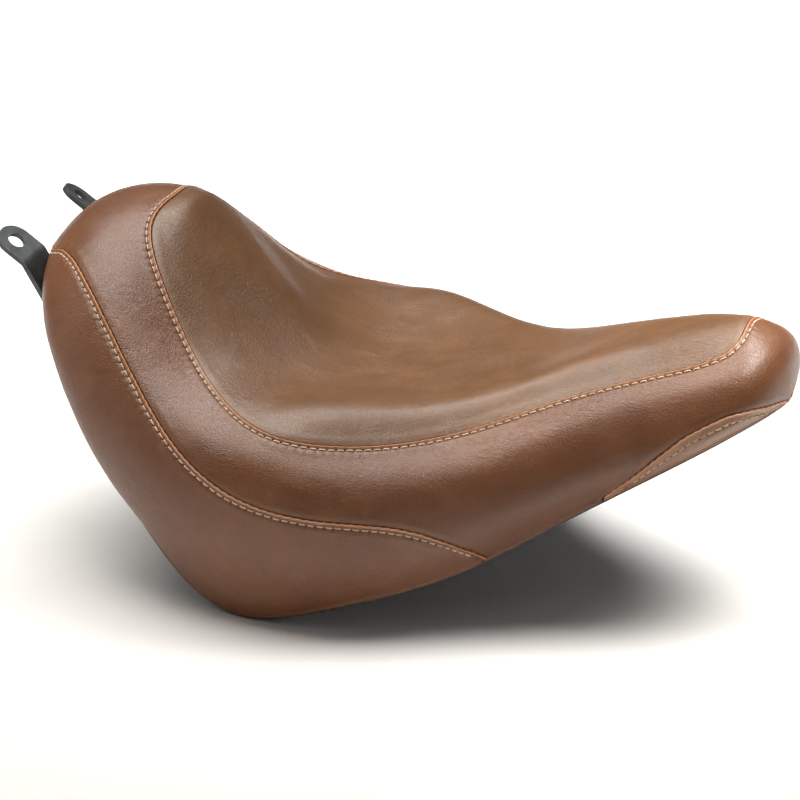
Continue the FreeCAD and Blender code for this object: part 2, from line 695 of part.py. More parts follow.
# tongue under the nose, held by two rivets
TG = TONGUE
poly = []
th = 3.0
def normal2(a, b):
    dx, dz = b[0] - a[0], b[1] - a[1]
    l = math.hypot(dx, dz)
    return (-dz / l, dx / l)
def offset_line(pts, off):
    out = []
    for i, p in enumerate(pts):
        if i == 0:
            n = normal2(pts[0], pts[1]); out.append((p[0] + n[0] * off, p[1] + n[1] * off)); continue
        if i == len(pts) - 1:
            n = normal2(pts[-2], pts[-1]); out.append((p[0] + n[0] * off, p[1] + n[1] * off)); continue
        a, b = normal2(pts[i - 1], p), normal2(p, pts[i + 1])
        m = (a[0] + b[0], a[1] + b[1])
        l = math.hypot(*m)
        m = (m[0] / l, m[1] / l)
        k = off / (m[0] * a[0] + m[1] * a[1])
        out.append((p[0] + m[0] * k, p[1] + m[1] * k))
    return out
up, dn = offset_line(TG, th / 2), offset_line(TG, -th / 2)
pts = [V(x, -TONGUE_W / 2, z) for x, z in up + dn[::-1]]
tongue = Part.Face(Part.makePolygon(pts + [pts[0]])).extrude(V(0, TONGUE_W, 0))
tip = [e for e in tongue.Edges if abs(e.Length - th) < 0.05 and e.CenterOfMass.x > TG[-1][0] - 2
       and abs(abs(e.CenterOfMass.y) - TONGUE_W / 2) < 0.01]
tongue = tongue.makeFillet(9.0, tip)
edges = [e for e in tongue.Edges if abs(e.Length - TONGUE_W) < 0.05
         and TG[0][0] + 4 < e.CenterOfMass.x < TG[-1][0] - 4]
tongue = tongue.makeFillet(1.2, edges)
fn = normal2(TG[0], TG[1])
fd = (fn[0], 0.0, fn[1])
rivets = []
for k in (0.22, 0.78):
    o = (TG[0][0] + k * (TG[1][0] - TG[0][0]), 0.0, TG[0][1] + k * (TG[1][1] - TG[0][1]))
    ta, ua, wa = surface_hit(o, fd, 0.0, (9.0, 0.97))
    tb, _, _ = surface_hit(o, fd, PAN_T, (ua, wa))
    print("tongue rivet", [round(x, 1) for x in o], "pan at", round(ta, 2), round(tb, 2))
    tongue = tongue.cut(cyl(o, fd, 2.8, -10, 10))
    rv = cyl(o, fd, 2.4, -th / 2 - 0.8, tb + 1.0).fuse(cyl(o, fd, 4.8, -th / 2 - 1.9, -th / 2 - 0.3))
    rv = rv.fuse(cyl(o, fd, 3.9, tb + 0.4, tb + 3.4)).removeSplitter()
    rivets.append(rv)
    pan_cut.append(cyl(o, fd, 2.8, ta - 3, tb + 3))
    foam_cut.append(cyl(o, fd, 4.8, tb - 2, tb + 4.6))
NODES["nose_tongue"] = tongue

# rubber bumpers, pushed through the pan
bumpers = []
for u, w in BUMPERS:
    p, n = under(u, w), under_normal(u, w)
    b = cyl(p, n, BUMPER_R, -10.0, -1.1)
    b = b.makeFillet(1.6, [e for e in b.Edges if abs(e.Length - 2 * math.pi * BUMPER_R) < 0.1])
    b = b.fuse(cyl(p, n, 3.8, -2.0, PAN_T + 2.2))
    b = b.fuse(Part.makeCone(6.0, 3.9, 3.6, vec(add(p, n, PAN_T + 0.7)), vec(n))).removeSplitter()
    b = b.cut(cyl(p, n, 2.2, -12, -4))
    bumpers += [b, mirrored(b)]
    pan_cut += [cyl(p, n, 4.2, -3, PAN_T + 3)]
    foam_cut += [cyl(p, n, 7.0, PAN_T - 2, PAN_T + 5.5)]

# tacks that hold the hem: head on the hem, shank in a blind hole of the pan
def path_len(u):
    return sum(dist(under(u, k / 10.0), under(u, (k + 1) / 10.0)) for k in range(10))


tacks = []
for u in TACKS:
    w = 0.5 * (hem_w0(u) + hem_w1(u))
    p, n = under(u, w), under_normal(u, w)
    top = -(PAN_GAP + HEM_T + 0.35)
    t = cyl(p, n, 3.6, top - 1.2, top).fuse(cyl(p, n, 1.2, top - 0.4, 1.9)).removeSplitter()
    tacks.append(t)
    pan_cut.append(cyl(p, n, 1.55, -2, 2.25))
    hem_cut.append(cyl(p, n, 1.55, -4, 2))
    if not on_plane(u):
        tacks.append(mirrored(t))


def all_sides(cuts):
    out = []
    for c in cuts:
        out.append(c)
        if abs(c.CenterOfMass.y) > 0.5:
            out.append(mirrored(c))
    return out


pan = pan.cut(all_sides(pan_cut))
foam = foam.cut(all_sides(foam_cut))
hem = hem.cut(all_sides(hem_cut))
NODES["foam_core"] = foam
NODES["base_pan"] = pan
NODES["hem_strip"] = hem
NODES["edge_trim"] = trim
NODES["bracket_screws"] = Part.Compound(screws + [mirrored(s) for s in screws])
NODES["bracket_washers"] = Part.Compound(washers + [mirrored(s) for s in washers])
NODES["bracket_spacers"] = Part.Compound(spacers + [mirrored(s) for s in spacers])
NODES["bracket_nuts"] = Part.Compound(nuts + [mirrored(s) for s in nuts])
NODES["tongue_rivets"] = Part.Compound(rivets)
NODES["rubber_bumpers"] = Part.Compound(bumpers)
NODES["hem_tacks"] = Part.Compound(tacks)

# ---------------------------------------------------------------- row frame and export
# Origin: centre of the bounding box in plan, on its bottom face.
for k in sorted(NODES):
    s = NODES[k]
    s = s.copy()
    s.translate(V(SHIFT_X, 0, SHIFT_Z))
    NODES[k] = s
    s.exportStep("parts/%s.step" % k)
    bb = s.BoundBox
    print("%-24s %s solids %d volume %.1f cm3" % (k, s.isValid(), len(s.Solids), s.Volume / 1000),
          [round(x, 1) for x in (bb.XMin, bb.XMax, bb.YMin, bb.YMax, bb.ZMin, bb.ZMax)])
xs, zs = [], []
for k in ("rear_bracket_right", "cover_side_band", "edge_trim"):
    vs, _ = NODES[k].tessellate(0.05)
    xs += [p.x for p in vs]
    zs += [p.z for p in vs]
print("x %.3f .. %.3f   z min %.3f" % (min(xs), max(xs), min(zs)))
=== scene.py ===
import bpy, math
import numpy as np
from mathutils import Matrix, Vector
from mathutils.kdtree import KDTree


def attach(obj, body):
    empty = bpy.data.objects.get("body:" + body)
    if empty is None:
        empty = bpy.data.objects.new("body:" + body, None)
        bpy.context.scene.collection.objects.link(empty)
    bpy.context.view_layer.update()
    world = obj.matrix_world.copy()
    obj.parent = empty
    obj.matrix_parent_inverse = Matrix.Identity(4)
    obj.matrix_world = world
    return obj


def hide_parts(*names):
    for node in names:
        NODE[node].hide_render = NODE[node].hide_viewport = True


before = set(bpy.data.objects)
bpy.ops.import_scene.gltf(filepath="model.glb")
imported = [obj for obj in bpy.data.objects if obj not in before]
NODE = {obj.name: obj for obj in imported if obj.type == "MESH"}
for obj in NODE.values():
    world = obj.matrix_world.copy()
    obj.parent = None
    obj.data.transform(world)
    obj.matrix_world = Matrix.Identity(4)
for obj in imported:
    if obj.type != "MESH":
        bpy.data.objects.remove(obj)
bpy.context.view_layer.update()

scene = bpy.context.scene
MM = 0.001

# ------------------------------------------------------------------ the seat's form, in millimetres
# The same closed rings as the CAD: right half, hem line first, centre line last.
RINGS = np.array([
    [(-237.0, 0.0, 77.5), (-236.0, -58.5, 71.4), (-224.8, -87.6, 34.0), (-188.8, -118.9, -26.0), (-131.0, -148.2, -84.8), (-65.0, -167.7, -115.5), (12.5, -169.9, -97.9), (89.0, -141.8, -74.1), (161.1, -101.0, -36.5), (228.0, -77.7, 3.1), (281.4, -52.2, 33.9), (303.7, 0.0, 43.4)],
    [(-255.5, 0.0, 85.4), (-249.0, -62.4, 80.0), (-231.3, -104.0, 42.5), (-191.5, -142.4, -12.7), (-126.9, -170.7, -60.3), (-54.1, -184.7, -84.6), (19.7, -181.7, -74.7), (93.4, -150.4, -53.5), (164.5, -108.0, -21.9), (234.3, -84.1, 14.3), (286.6, -56.6, 42.9), (304.8, 0.0, 52.5)],
    [(-270.2, 0.0, 100.2), (-260.2, -66.4, 94.2), (-234.7, -115.9, 60.0), (-185.1, -152.8, 12.7), (-117.2, -184.9, -27.2), (-45.6, -196.9, -42.2), (27.4, -189.1, -41.1), (97.0, -152.7, -28.5), (167.0, -112.1, 0.8), (237.2, -86.7, 32.4), (289.4, -57.2, 56.9), (305.5, 0.0, 66.6)],
    [(-236.8, 0.0, 134.4), (-228.9, -60.9, 123.3), (-201.9, -108.2, 95.5), (-160.4, -144.1, 54.2), (-103.0, -176.7, 17.7), (-35.4, -190.3, 2.8), (33.7, -176.9, -0.7), (99.0, -136.9, 7.2), (162.4, -96.9, 34.4), (233.3, -74.0, 59.1), (283.7, -49.9, 76.6), (296.8, 0.0, 86.4)],
    [(-179.3, 0.0, 142.4), (-181.0, -44.7, 132.0), (-156.7, -80.5, 99.3), (-121.2, -109.3, 60.0), (-79.0, -144.1, 37.3), (-27.2, -165.6, 25.6), (36.0, -142.3, 20.4), (96.3, -102.4, 27.9), (157.3, -71.1, 48.8), (223.6, -55.8, 71.2), (267.5, -34.9, 87.3), (272.0, 0.0, 99.4)],
    [(-159.8, 0.0, 137.7), (-154.5, -39.2, 123.7), (-132.2, -64.0, 91.3), (-97.4, -87.7, 55.9), (-58.1, -112.3, 39.2), (-14.3, -125.8, 41.4), (42.8, -106.9, 38.1), (100.1, -76.1, 45.2), (158.6, -50.6, 64.1), (216.6, -37.0, 82.4), (250.1, -22.9, 94.0), (255.6, 0.0, 98.7)],
    [(-127.2, 0.0, 104.9), (-121.0, -22.9, 96.7), (-101.6, -39.2, 70.5), (-68.9, -51.0, 45.6), (-34.3, -60.2, 32.9), (3.3, -60.8, 31.6), (53.2, -52.7, 36.1), (103.6, -38.9, 48.1), (158.8, -28.0, 69.5), (203.3, -20.7, 84.5), (224.3, -11.2, 91.2), (231.8, 0.0, 93.7)],
    [(-87.7, 0.0, 67.2), (-81.2, 0.0, 61.8), (-63.7, 0.0, 47.7), (-42.2, 0.0, 35.8), (-16.5, 0.0, 29.3), (15.2, 0.0, 29.1), (57.3, 0.0, 34.4), (105.9, 0.0, 46.6), (151.9, 0.0, 66.1), (188.2, 0.0, 79.8), (203.2, 0.0, 83.5), (209.7, 0.0, 84.9)],
])
SKIRT_SEAM = [(0.0, 2.10), (0.4, 2.14), (0.78, 2.285), (1.12, 2.672), (1.48, 2.874),
              (1.86, 2.973), (2.26, 3.033), (2.68, 3.061), (3.10, 3.052), (3.52, 3.0),
              (3.95, 2.893), (4.38, 2.737), (4.80, 2.586), (5.22, 2.491), (5.62, 2.444),
              (6.01, 2.398), (6.36, 2.294), (6.69, 2.047), (6.98, 1.567), (7.22, 0.765),
              (7.38, 0.0)]
NOSE_SEAM = [(8.42, 0.0), (8.50, 0.25), (8.59, 0.52), (8.70, 0.88), (8.82, 1.25), (9.0, 1.62),
             (9.28, 1.91), (9.64, 1.975), (10.04, 1.651), (10.43, 0.961), (10.78, 0.30),
             (10.92, 0.0)]
SHIFT = np.array([-1.90, 0.0, 118.98])
NU, NV = 12, 8
NP, NA = 2 * NU - 2, 2 * NV - 1
PITCH = 6.5            # stitch pitch
SET1, SET2, SET3 = 3.7, 3.9, 6.6   # stitches from the insert, skirt and nose seams
T_LEATHER = 1.5

mirror = lambda r: r * np.array([1.0, -1.0, 1.0])
loops = [np.vstack([r, mirror(r[NU - 2:0:-1])]) for r in RINGS]
full = loops + [l[(-np.arange(NP)) % NP] for l in reversed(loops[:-1])]
cyc = np.zeros((NP, NP))
for i in range(NP):
    cyc[i, i] = 4 / 6
    cyc[i, (i + 1) % NP] += 1 / 6
    cyc[i, (i - 1) % NP] += 1 / 6
nat = np.zeros((NA, NA))
for i in range(NA):
    if i in (0, NA - 1):
        nat[i, i] = 1
    else:
        nat[i, i] = 4 / 6
        nat[i, i - 1] = nat[i, i + 1] = 1 / 6
COEF = np.einsum("km,mjc->kjc", np.linalg.inv(nat),
                 np.array([np.linalg.solve(cyc, r) for r in full]))
COEF = np.concatenate([(2 * COEF[0] - COEF[1])[None], COEF])


def basis(t):
    return ((1 - t) ** 3 / 6, (3 * t ** 3 - 6 * t ** 2 + 4) / 6,
            (-3 * t ** 3 + 3 * t ** 2 + 3 * t + 1) / 6, t ** 3 / 6)


def S(u, v):
    """Outer surface of the cover. u runs round the whole seat, 0 to 22, and v from hem to centre."""
    u, v = np.broadcast_arrays(np.asarray(u, float), np.asarray(v, float))
    iu = np.floor(u).astype(int)
    iv = np.clip(np.floor(v).astype(int), 0, NA - 2)
    bu, bv = basis(u - iu), basis(v - iv)
    out = np.zeros(u.shape + (3,))
    for a in range(4):
        for b in range(4):
            out += (bv[a] * bu[b])[..., None] * COEF[iv + a, (iu - 1 + b) % NP]
    return out + SHIFT


def unit(a):
    return a / np.maximum(np.linalg.norm(a, axis=-1, keepdims=True), 1e-12)


def normal(u, v):
    h = 0.02
    near = np.minimum(np.abs((u % 11.0) - 0.0), np.abs((u % 11.0) - 11.0)) < 0.12
    v = np.where((v > 6.88) & near, 6.88, v)
    return unit(np.cross(S(u + h, v) - S(u - h, v), S(u, v + h) - S(u, np.maximum(v - h, 0))))


def table(tab, x):
    """Monotone cubic through (x, y) pairs."""
    t = np.array(tab)
    h = np.diff(t[:, 0])
    d = np.diff(t[:, 1]) / h
    m = np.zeros(len(t))
    m[0], m[-1] = d[0], d[-1]
    for i in range(1, len(t) - 1):
        m[i] = 0 if d[i - 1] * d[i] <= 0 else 2 * d[i - 1] * d[i] / (d[i - 1] + d[i])
    x = np.asarray(x, float)
    i = np.clip(np.searchsorted(t[:, 0], x) - 1, 0, len(h) - 1)
    s = np.clip((x - t[i, 0]) / h[i], 0, 1)
    return ((2 * s ** 3 - 3 * s ** 2 + 1) * t[i, 1] + (s ** 3 - 2 * s ** 2 + s) * h[i] * m[i]
            + (-2 * s ** 3 + 3 * s ** 2) * t[i + 1, 1] + (s ** 3 - s ** 2) * h[i] * m[i + 1])


fold = lambda u: np.where(u % 22 > 11, 22 - u % 22, u % 22)    # the same station on the right half
skirt_v = lambda u: table(SKIRT_SEAM, fold(u))
nose_v = lambda u: table(NOSE_SEAM, fold(u))


def band_lo(u):
    f = fold(u)
    return np.where(f <= 7.38, skirt_v(u), np.where((f > 8.42) & (f < 10.92), nose_v(u), 0.0))


# ------------------------------------------------------------------ smooth seeded noise
class Noise:
    def __init__(self, seed):
        r = np.random.RandomState(seed)
        self.p = np.concatenate([r.permutation(256)] * 2)
        g = r.normal(size=(256, 3))
        self.g = g / np.linalg.norm(g, axis=1)[:, None]

    def __call__(self, q):
        q = np.asarray(q, float)
        i = np.floor(q).astype(int)
        f = q - i
        w = f * f * f * (f * (f * 6 - 15) + 10)
        i &= 255
        out = 0
        for dx in (0, 1):
            for dy in (0, 1):
                for dz in (0, 1):
                    k = self.p[self.p[self.p[(i[..., 0] + dx) & 255] + ((i[..., 1] + dy) & 255)]
                               + ((i[..., 2] + dz) & 255)]
                    d = ((f - (dx, dy, dz)) * self.g[k & 255]).sum(-1)
                    out = out + d * ((w[..., 0] if dx else 1 - w[..., 0])
                                     * (w[..., 1] if dy else 1 - w[..., 1])
                                     * (w[..., 2] if dz else 1 - w[..., 2]))
        return out

    def fbm(self, q, n=3, gain=0.5):
        return sum(gain ** k * self(q * 2.03 ** k + 7.3 * k) for k in range(n))


N_BIG, N_MID, N_WR, N_ST = Noise(11), Noise(23), Noise(37), Noise(51)

# ------------------------------------------------------------------ seam lines
class Seam:
    """A seam as a dense line: arc length, and nearest distance from any point."""

    def __init__(self, us, vs, closed=False):
        self.u, self.v, self.closed = us, vs, closed
        self.p = S(us, vs)
        d = np.linalg.norm(np.diff(self.p, axis=0), axis=1)
        self.s = np.concatenate([[0], np.cumsum(d)])
        self.L = self.s[-1]
        self.pitch = self.L / round(self.L / PITCH) if closed else PITCH
        self.t = unit(np.gradient(self.p, axis=0))
        self.kd = KDTree(len(us))
        for i, q in enumerate(self.p):
            self.kd.insert(q, i)
        self.kd.balance()

    def near(self, P):
        """Distance and arc length of the nearest seam point, for an (n, 3) array."""
        d = np.empty(len(P))
        s = np.empty(len(P))
        for k, q in enumerate(P):
            _, i, _ = self.kd.find(q)
            e = q - self.p[i]
            a = float(e @ self.t[i])
            s[k] = self.s[i] + a
            d[k] = math.sqrt(max(float(e @ e) - a * a, 0.0)) if 0 < i < len(self.p) - 1 else math.sqrt(float(e @ e))
        return d, s


_u = np.linspace(0, 22, 5601)
SEAM1 = Seam(_u, np.full(_u.shape, 4.0), True)
_u = np.concatenate([np.linspace(-7.38, -6.2, 900)[:-1], np.linspace(-6.2, 6.2, 3200), np.linspace(6.2, 7.38, 900)[1:]])
SEAM2 = Seam(_u, skirt_v(_u))
_u = np.linspace(8.42, 10.92, 1600)
SEAM3 = Seam(_u, nose_v(_u))
SEAM4 = Seam(22 - _u, nose_v(_u))


def g(x, c, w):
    return np.exp(-((x - c) / w) ** 2)


def sstep(x, a, b):
    t = np.clip((x - a) / (b - a), 0, 1)
    return t * t * (3 - 2 * t)


def tucked(d):
    """The panel whose edge goes down into the seam."""
    return -0.85 * np.exp(-(d / 0.42) ** 1.6) - 0.10 * g(d, 1.0, 0.9) + 0.30 * g(d, 5.0, 3.0)


def lapped(d, s, setback, pitch, soft=1.0):
    """The panel whose edge is folded, laid over the seam and stitched down."""
    ph = 2 * np.pi * s / pitch
    wob = 0.5 + 0.5 * np.cos(ph)                       # 1 at the needle holes
    dd = d + 0.30 * (wob - 0.5)
    edge = -1.1 * np.exp(-(np.maximum(dd, 0) / 0.30) ** 2)
    ridge = (0.70 - 0.20 * wob) * g(dd, 0.95, 0.75)
    strip = 0.36 * (1 - sstep(d, setback - 1.1, setback + 0.1))
    line = -(0.22 + 0.20 * wob) * g(d, setback, 0.75)
    pad = 0.34 * soft * g(d, setback + 3.4, 2.6) * (0.75 + 0.25 * np.cos(ph + np.pi))
    return edge + ridge + strip + line + pad

# ------------------------------------------------------------------ the underside, for the foam
SPINE = np.array([(-218.0, 50.0), (-208.0, 42.5), (-180.0, 22.5), (-138.0, 0.0), (-86.0, -14.0),
                  (-28.0, -20.0), (38.0, -17.0), (104.0, -3.0), (168.0, 16.0), (222.0, 29.0),
                  (258.0, 36.5), (270.0, 39.0)])
_sp = np.vstack([SPINE, SPINE[NU - 2:0:-1]])
_sc = np.linalg.solve(cyc, _sp)


def under(u, w):
    """Underside of the pan: w is 0 at the rim and 1 on the centre line."""
    u, w = np.broadcast_arrays(np.asarray(u, float), np.asarray(w, float))
    iu = np.floor(u).astype(int)
    bu = basis(u - iu)
    c = sum(bu[b][..., None] * _sc[(iu - 1 + b) % NP] for b in range(4))
    p = S(u, 0.0) - SHIFT
    t = unit(S(u + 0.02, 0.0) - S(u - 0.02, 0.0))
    n = unit(np.stack([t[..., 1], -t[..., 0], 0 * t[..., 0]], -1))
    out = (n[..., 0] * p[..., 0] + n[..., 1] * p[..., 1]) < 0
    n = np.where(out[..., None], -n, n)
    a = p - 6.5 * n
    s = np.minimum(1.0, (np.abs(a[..., 1]) / 95.0) ** 1.5)
    th = w * np.pi / 2
    kz = s * np.sin(th) + (1 - s) * w
    ky = s * (1 - np.cos(th)) + (1 - s) * w
    return np.stack([a[..., 0] + (c[..., 0] - a[..., 0]) * w, a[..., 1] * (1 - ky),
                     a[..., 2] + (c[..., 1] - a[..., 2]) * kz], -1) + SHIFT


def under_normal(u, w):
    h = 0.02
    f = fold(u)
    ww = np.where((f < 0.3) | (f > 10.7), np.minimum(w, 0.985), w)
    du = under(u + h, ww) - under(u - h, ww)
    dw = under(u, np.minimum(ww + h, 1)) - under(u, np.maximum(ww - h, 0))
    n = unit(np.cross(du, dw))
    return np.where((n[..., 2] < 0)[..., None], -n, n)


# ------------------------------------------------------------------ meshes from grids
def make_mesh(name, verts, faces, attrs=None, uv=None):
    me = bpy.data.meshes.new(name)
    me.from_pydata([], [], [])
    verts = np.asarray(verts, float) * MM
    faces = [np.asarray(f) for f in faces if len(f)]
    nl = sum(f.size for f in faces)
    nf = sum(len(f) for f in faces)
    me.vertices.add(len(verts))
    me.vertices.foreach_set("co", verts.astype(np.float32).ravel())
    me.loops.add(nl)
    me.polygons.add(nf)
    me.loops.foreach_set("vertex_index", np.concatenate([f.ravel() for f in faces]).astype(np.int32))
    tot = np.concatenate([np.full(len(f), f.shape[1]) for f in faces])
    me.polygons.foreach_set("loop_start", (np.cumsum(tot) - tot).astype(np.int32))
    me.polygons.foreach_set("use_smooth", np.ones(nf, bool))
    me.update(calc_edges=True)
    for k, a in (attrs or {}).items():
        at = me.attributes.new(k, "FLOAT", "POINT")
        at.data.foreach_set("value", np.asarray(a, np.float32))
    me.validate()
    ob = bpy.data.objects.new(name, me)
    scene.collection.objects.link(ob)
    return ob


def quads(idx, loop_u, flip=False):
    """Faces of a grid of vertex numbers, columns by rows."""
    a = idx
    b = np.roll(idx, -1, 0) if loop_u else idx[1:]
    if not loop_u:
        a = idx[:-1]
    q = np.stack([a[:, :-1], b[:, :-1], b[:, 1:], a[:, 1:]], -1).reshape(-1, 4)
    if flip:
        q = q[:, ::-1]
    ok = np.array([len(set(r)) == 4 for r in q.tolist()])
    return q[ok]


def tris(idx, loop_u, flip=False):
    """The grid's faces that have two corners in one place, as triangles."""
    a = idx
    b = np.roll(idx, -1, 0) if loop_u else idx[1:]
    if not loop_u:
        a = idx[:-1]
    q = np.stack([a[:, :-1], b[:, :-1], b[:, 1:], a[:, 1:]], -1).reshape(-1, 4)
    out = []
    for r in q.tolist():
        if len(set(r)) == 3:
            t = []
            for k in r:
                if k not in t:
                    t.append(k)
            out.append(t[::-1] if flip else t)
    return np.array(out, int).reshape(-1, 3)


def columns(n_half):
    """Stations round the right half, even along the seams, then mirrored."""
    f = np.linspace(0, 11, 6000)
    p = [S(f, 4.0), S(f, band_lo(f)), S(f, 0.0)]
    d = np.max([np.linalg.norm(np.diff(q, axis=0), axis=1) for q in p], axis=0)
    s = np.concatenate([[0], np.cumsum(d)])
    u = np.interp(np.linspace(0, s[-1], n_half + 1), s, f)
    for k in (7.38, 8.42, 10.92):
        u[np.argmin(np.abs(u - k))] = k
    return np.concatenate([u, 22 - u[-2:0:-1]])


FINE = np.array([0, .22, .45, .7, .95, 1.25, 1.6, 2.0, 2.45, 2.9, 3.3, 3.7, 4.1, 4.6, 5.2, 6.0, 7.0, 8.2, 9.6, 11.2])
ROUGH = np.array([0, 1.0, 2.2, 3.6, 5.4, 7.6])


def v_rows(us, lo, hi, low=FINE, high=FINE, n_mid=22):
    """Rows of v for each column, fine beside the seams. Returns (columns, rows)."""
    k = 48
    w = np.linspace(0, 1, k + 1)
    vv = lo[:, None] + (hi - lo)[:, None] * w
    p = S(us[:, None], vv)
    d = np.concatenate([np.zeros((len(us), 1)), np.cumsum(np.linalg.norm(np.diff(p, axis=1), axis=2), 1)], 1)
    out = np.empty((len(us), len(low) + len(high) + n_mid))
    need = low[-1] + high[-1] + 14.0
    for c in range(len(us)):
        L = d[c, -1]
        f = min(1.0, L / need)
        a, b = low * f, L - high[::-1] * f
        m = np.linspace(a[-1], b[0], n_mid + 2)[1:-1]
        x = np.concatenate([a, m, b])
        out[c] = np.interp(x, d[c], vv[c]) if L > 1e-6 else lo[c]
    return out


# ------------------------------------------------------------------ how the stuffed leather swells
def swell_grid():
    """A cloth pass on the cushion: a closed coarse copy, held at the seams and the hem and blown up a
    little. Returns how far it moved outwards, on an even (u, v) grid, in millimetres."""
    nu, nv, nw = 176, 42, 10
    us = np.arange(nu) * 22 / nu
    vs = np.linspace(0, 7, nv + 1)
    ws = np.linspace(0, 1, nw + 1)
    P = S(us[:, None], vs[None, :])
    Nn = normal(us[:, None], vs[None, :])
    top = P - 3.0 * Nn
    bot = under(us[:, None], ws[None, :]) + 3.4 * under_normal(us[:, None], ws[None, :])
    pts = np.concatenate([top, bot], 1)
    idx = np.arange(nu * pts.shape[1]).reshape(nu, -1)
    half = nu // 2
    for r in (nv, pts.shape[1] - 1):
        for c in range(half + 1, nu):
            idx[c, r] = idx[nu - c, r]
    q1 = idx[:, :nv + 1]
    q2 = idx[:, [0] + list(range(nv + 1, pts.shape[1]))]
    faces = [quads(q1, True), tris(q1, True), quads(q2, True, True), tris(q2, True, True)]
    used = np.unique(np.concatenate([f.ravel() for f in faces]))
    remap = -np.ones(idx.max() + 1, int)
    remap[used] = np.arange(len(used))
    ob = make_mesh("swell", pts.reshape(-1, 3)[used], [remap[f] for f in faces])
    d = np.min([SEAM1.near(P.reshape(-1, 3))[0], SEAM2.near(P.reshape(-1, 3))[0],
                SEAM3.near(P.reshape(-1, 3))[0], SEAM4.near(P.reshape(-1, 3))[0]], axis=0).reshape(P.shape[:2])
    hold = np.clip(1 - sstep(d, 3.0, 9.0), 0, 1)
    hold = np.maximum(hold, 1 - sstep(vs, 0.0, 0.5)[None, :])
    w_all = np.ones(idx.shape)
    w_all[:, :nv + 1] = hold
    vg = ob.vertex_groups.new(name="hold")
    wv = w_all.reshape(-1)[used]
    for lev in range(0, 11):
        sel = np.where(np.round(wv * 10).astype(int) == lev)[0]
        if len(sel):
            vg.add([int(k) for k in sel], lev / 10, "REPLACE")
    m = ob.modifiers.new("swell", "CLOTH")
    c = m.settings
    c.quality = 6
    c.mass = 0.4
    c.tension_stiffness = c.compression_stiffness = 22
    c.shear_stiffness = 10
    c.bending_stiffness = 2.0
    c.use_pressure = True
    c.uniform_pressure_force = 4.0
    c.vertex_group_mass = "hold"
    c.pin_stiffness = 1.0
    c.effector_weights.gravity = 0
    m.collision_settings.use_self_collision = False
    m.collision_settings.use_collision = False
    scene.frame_start, scene.frame_end = 1, 20
    for f in range(1, 21):
        scene.frame_set(f)
    dg = bpy.context.evaluated_depsgraph_get()
    me = ob.evaluated_get(dg).to_mesh()
    co = np.empty(len(me.vertices) * 3)
    me.vertices.foreach_get("co", co)
    co = co.reshape(-1, 3) / MM
    scene.frame_set(1)
    bpy.data.objects.remove(ob)
    move = np.zeros((nu, nv + 1))
    allp = np.zeros(((idx.max() + 1), 3))
    allp[used] = co
    now = allp[idx[:, :nv + 1]]
    move = ((now - top) * Nn).sum(-1)
    move = np.nan_to_num(move)
    top_move = np.percentile(np.abs(move), 98) + 1e-6
    return us, vs, np.clip(move / top_move, -0.4, 1.0) * 1.1 * (1 - hold)


SW_U, SW_V, SW = swell_grid()


def swell(u, v):
    nu, nv = SW.shape[0], SW.shape[1] - 1
    x = (np.asarray(u, float) % 22) * nu / 22
    y = np.clip(np.asarray(v, float), 0, 7) * nv / 7
    i, j = np.floor(x).astype(int) % nu, np.minimum(np.floor(y).astype(int), nv - 1)
    fx, fy = x - np.floor(x), y - j
    i2 = (i + 1) % nu
    return ((SW[i, j] * (1 - fx) + SW[i2, j] * fx) * (1 - fy)
            + (SW[i, j + 1] * (1 - fx) + SW[i2, j + 1] * fx) * fy)


def low_relief(u, v, P, d2, s2):
    """The slow unevenness of leather pulled over foam, and the puckers where it turns a corner."""
    h = swell(u, v)
    h = h + 0.42 * N_BIG.fbm(P / 46.0, 2)
    stretch = P * np.array([1 / 22.0, 1 / 11.0, 1 / 11.0])
    h = h + 0.13 * N_MID.fbm(stretch, 3)
    f = fold(u)
    corner = np.exp(-((f - 1.15) / 0.75) ** 2)
    q = np.stack([s2 / 7.5, d2 / 40.0, 0 * s2], -1)
    h = h + (0.10 + 0.62 * corner) * np.exp(-d2 / 17.0) * N_WR(q)
    q = np.stack([P[..., 0] / 26.0, P[..., 1] / 26.0, P[..., 2] / 4.2], -1)
    fold_zone = np.exp(-((f - 2.6) / 1.3) ** 2) * (v < 3.0)
    h = h + 0.16 * fold_zone * N_WR.fbm(q + 0.8 * N_BIG(P / 19.0)[..., None], 2)
    return h


# ------------------------------------------------------------------ the five leather panels
U = columns(500)
N = len(U)
HALF = N // 2
BAND_LO = band_lo(U)
LIP, LIP_MM = 0.085, 2.0                      # the hem hangs straight down over the top of the trim


def lip(us):
    """Lowest v of a panel at the hem. The rear, where the brackets pass, has no lip."""
    return -LIP * sstep(fold(us), 1.4, 2.2)


def hang(P, N, us, vs):
    """Rows below the hem line go straight down."""
    low = (vs < 0)[..., None]
    drop = np.stack([0 * vs, 0 * vs, np.minimum(vs, 0) / LIP * LIP_MM], -1)
    side = unit(N * np.array([1.0, 1.0, 0.0]))
    return np.where(low, S(us, 0.0) + drop, P), np.where(low, side, N)


def seam_data(P):
    """Distances and arc lengths to the seams."""
    return SEAM1.near(P), SEAM2.near(P), SEAM3.near(P), SEAM4.near(P)


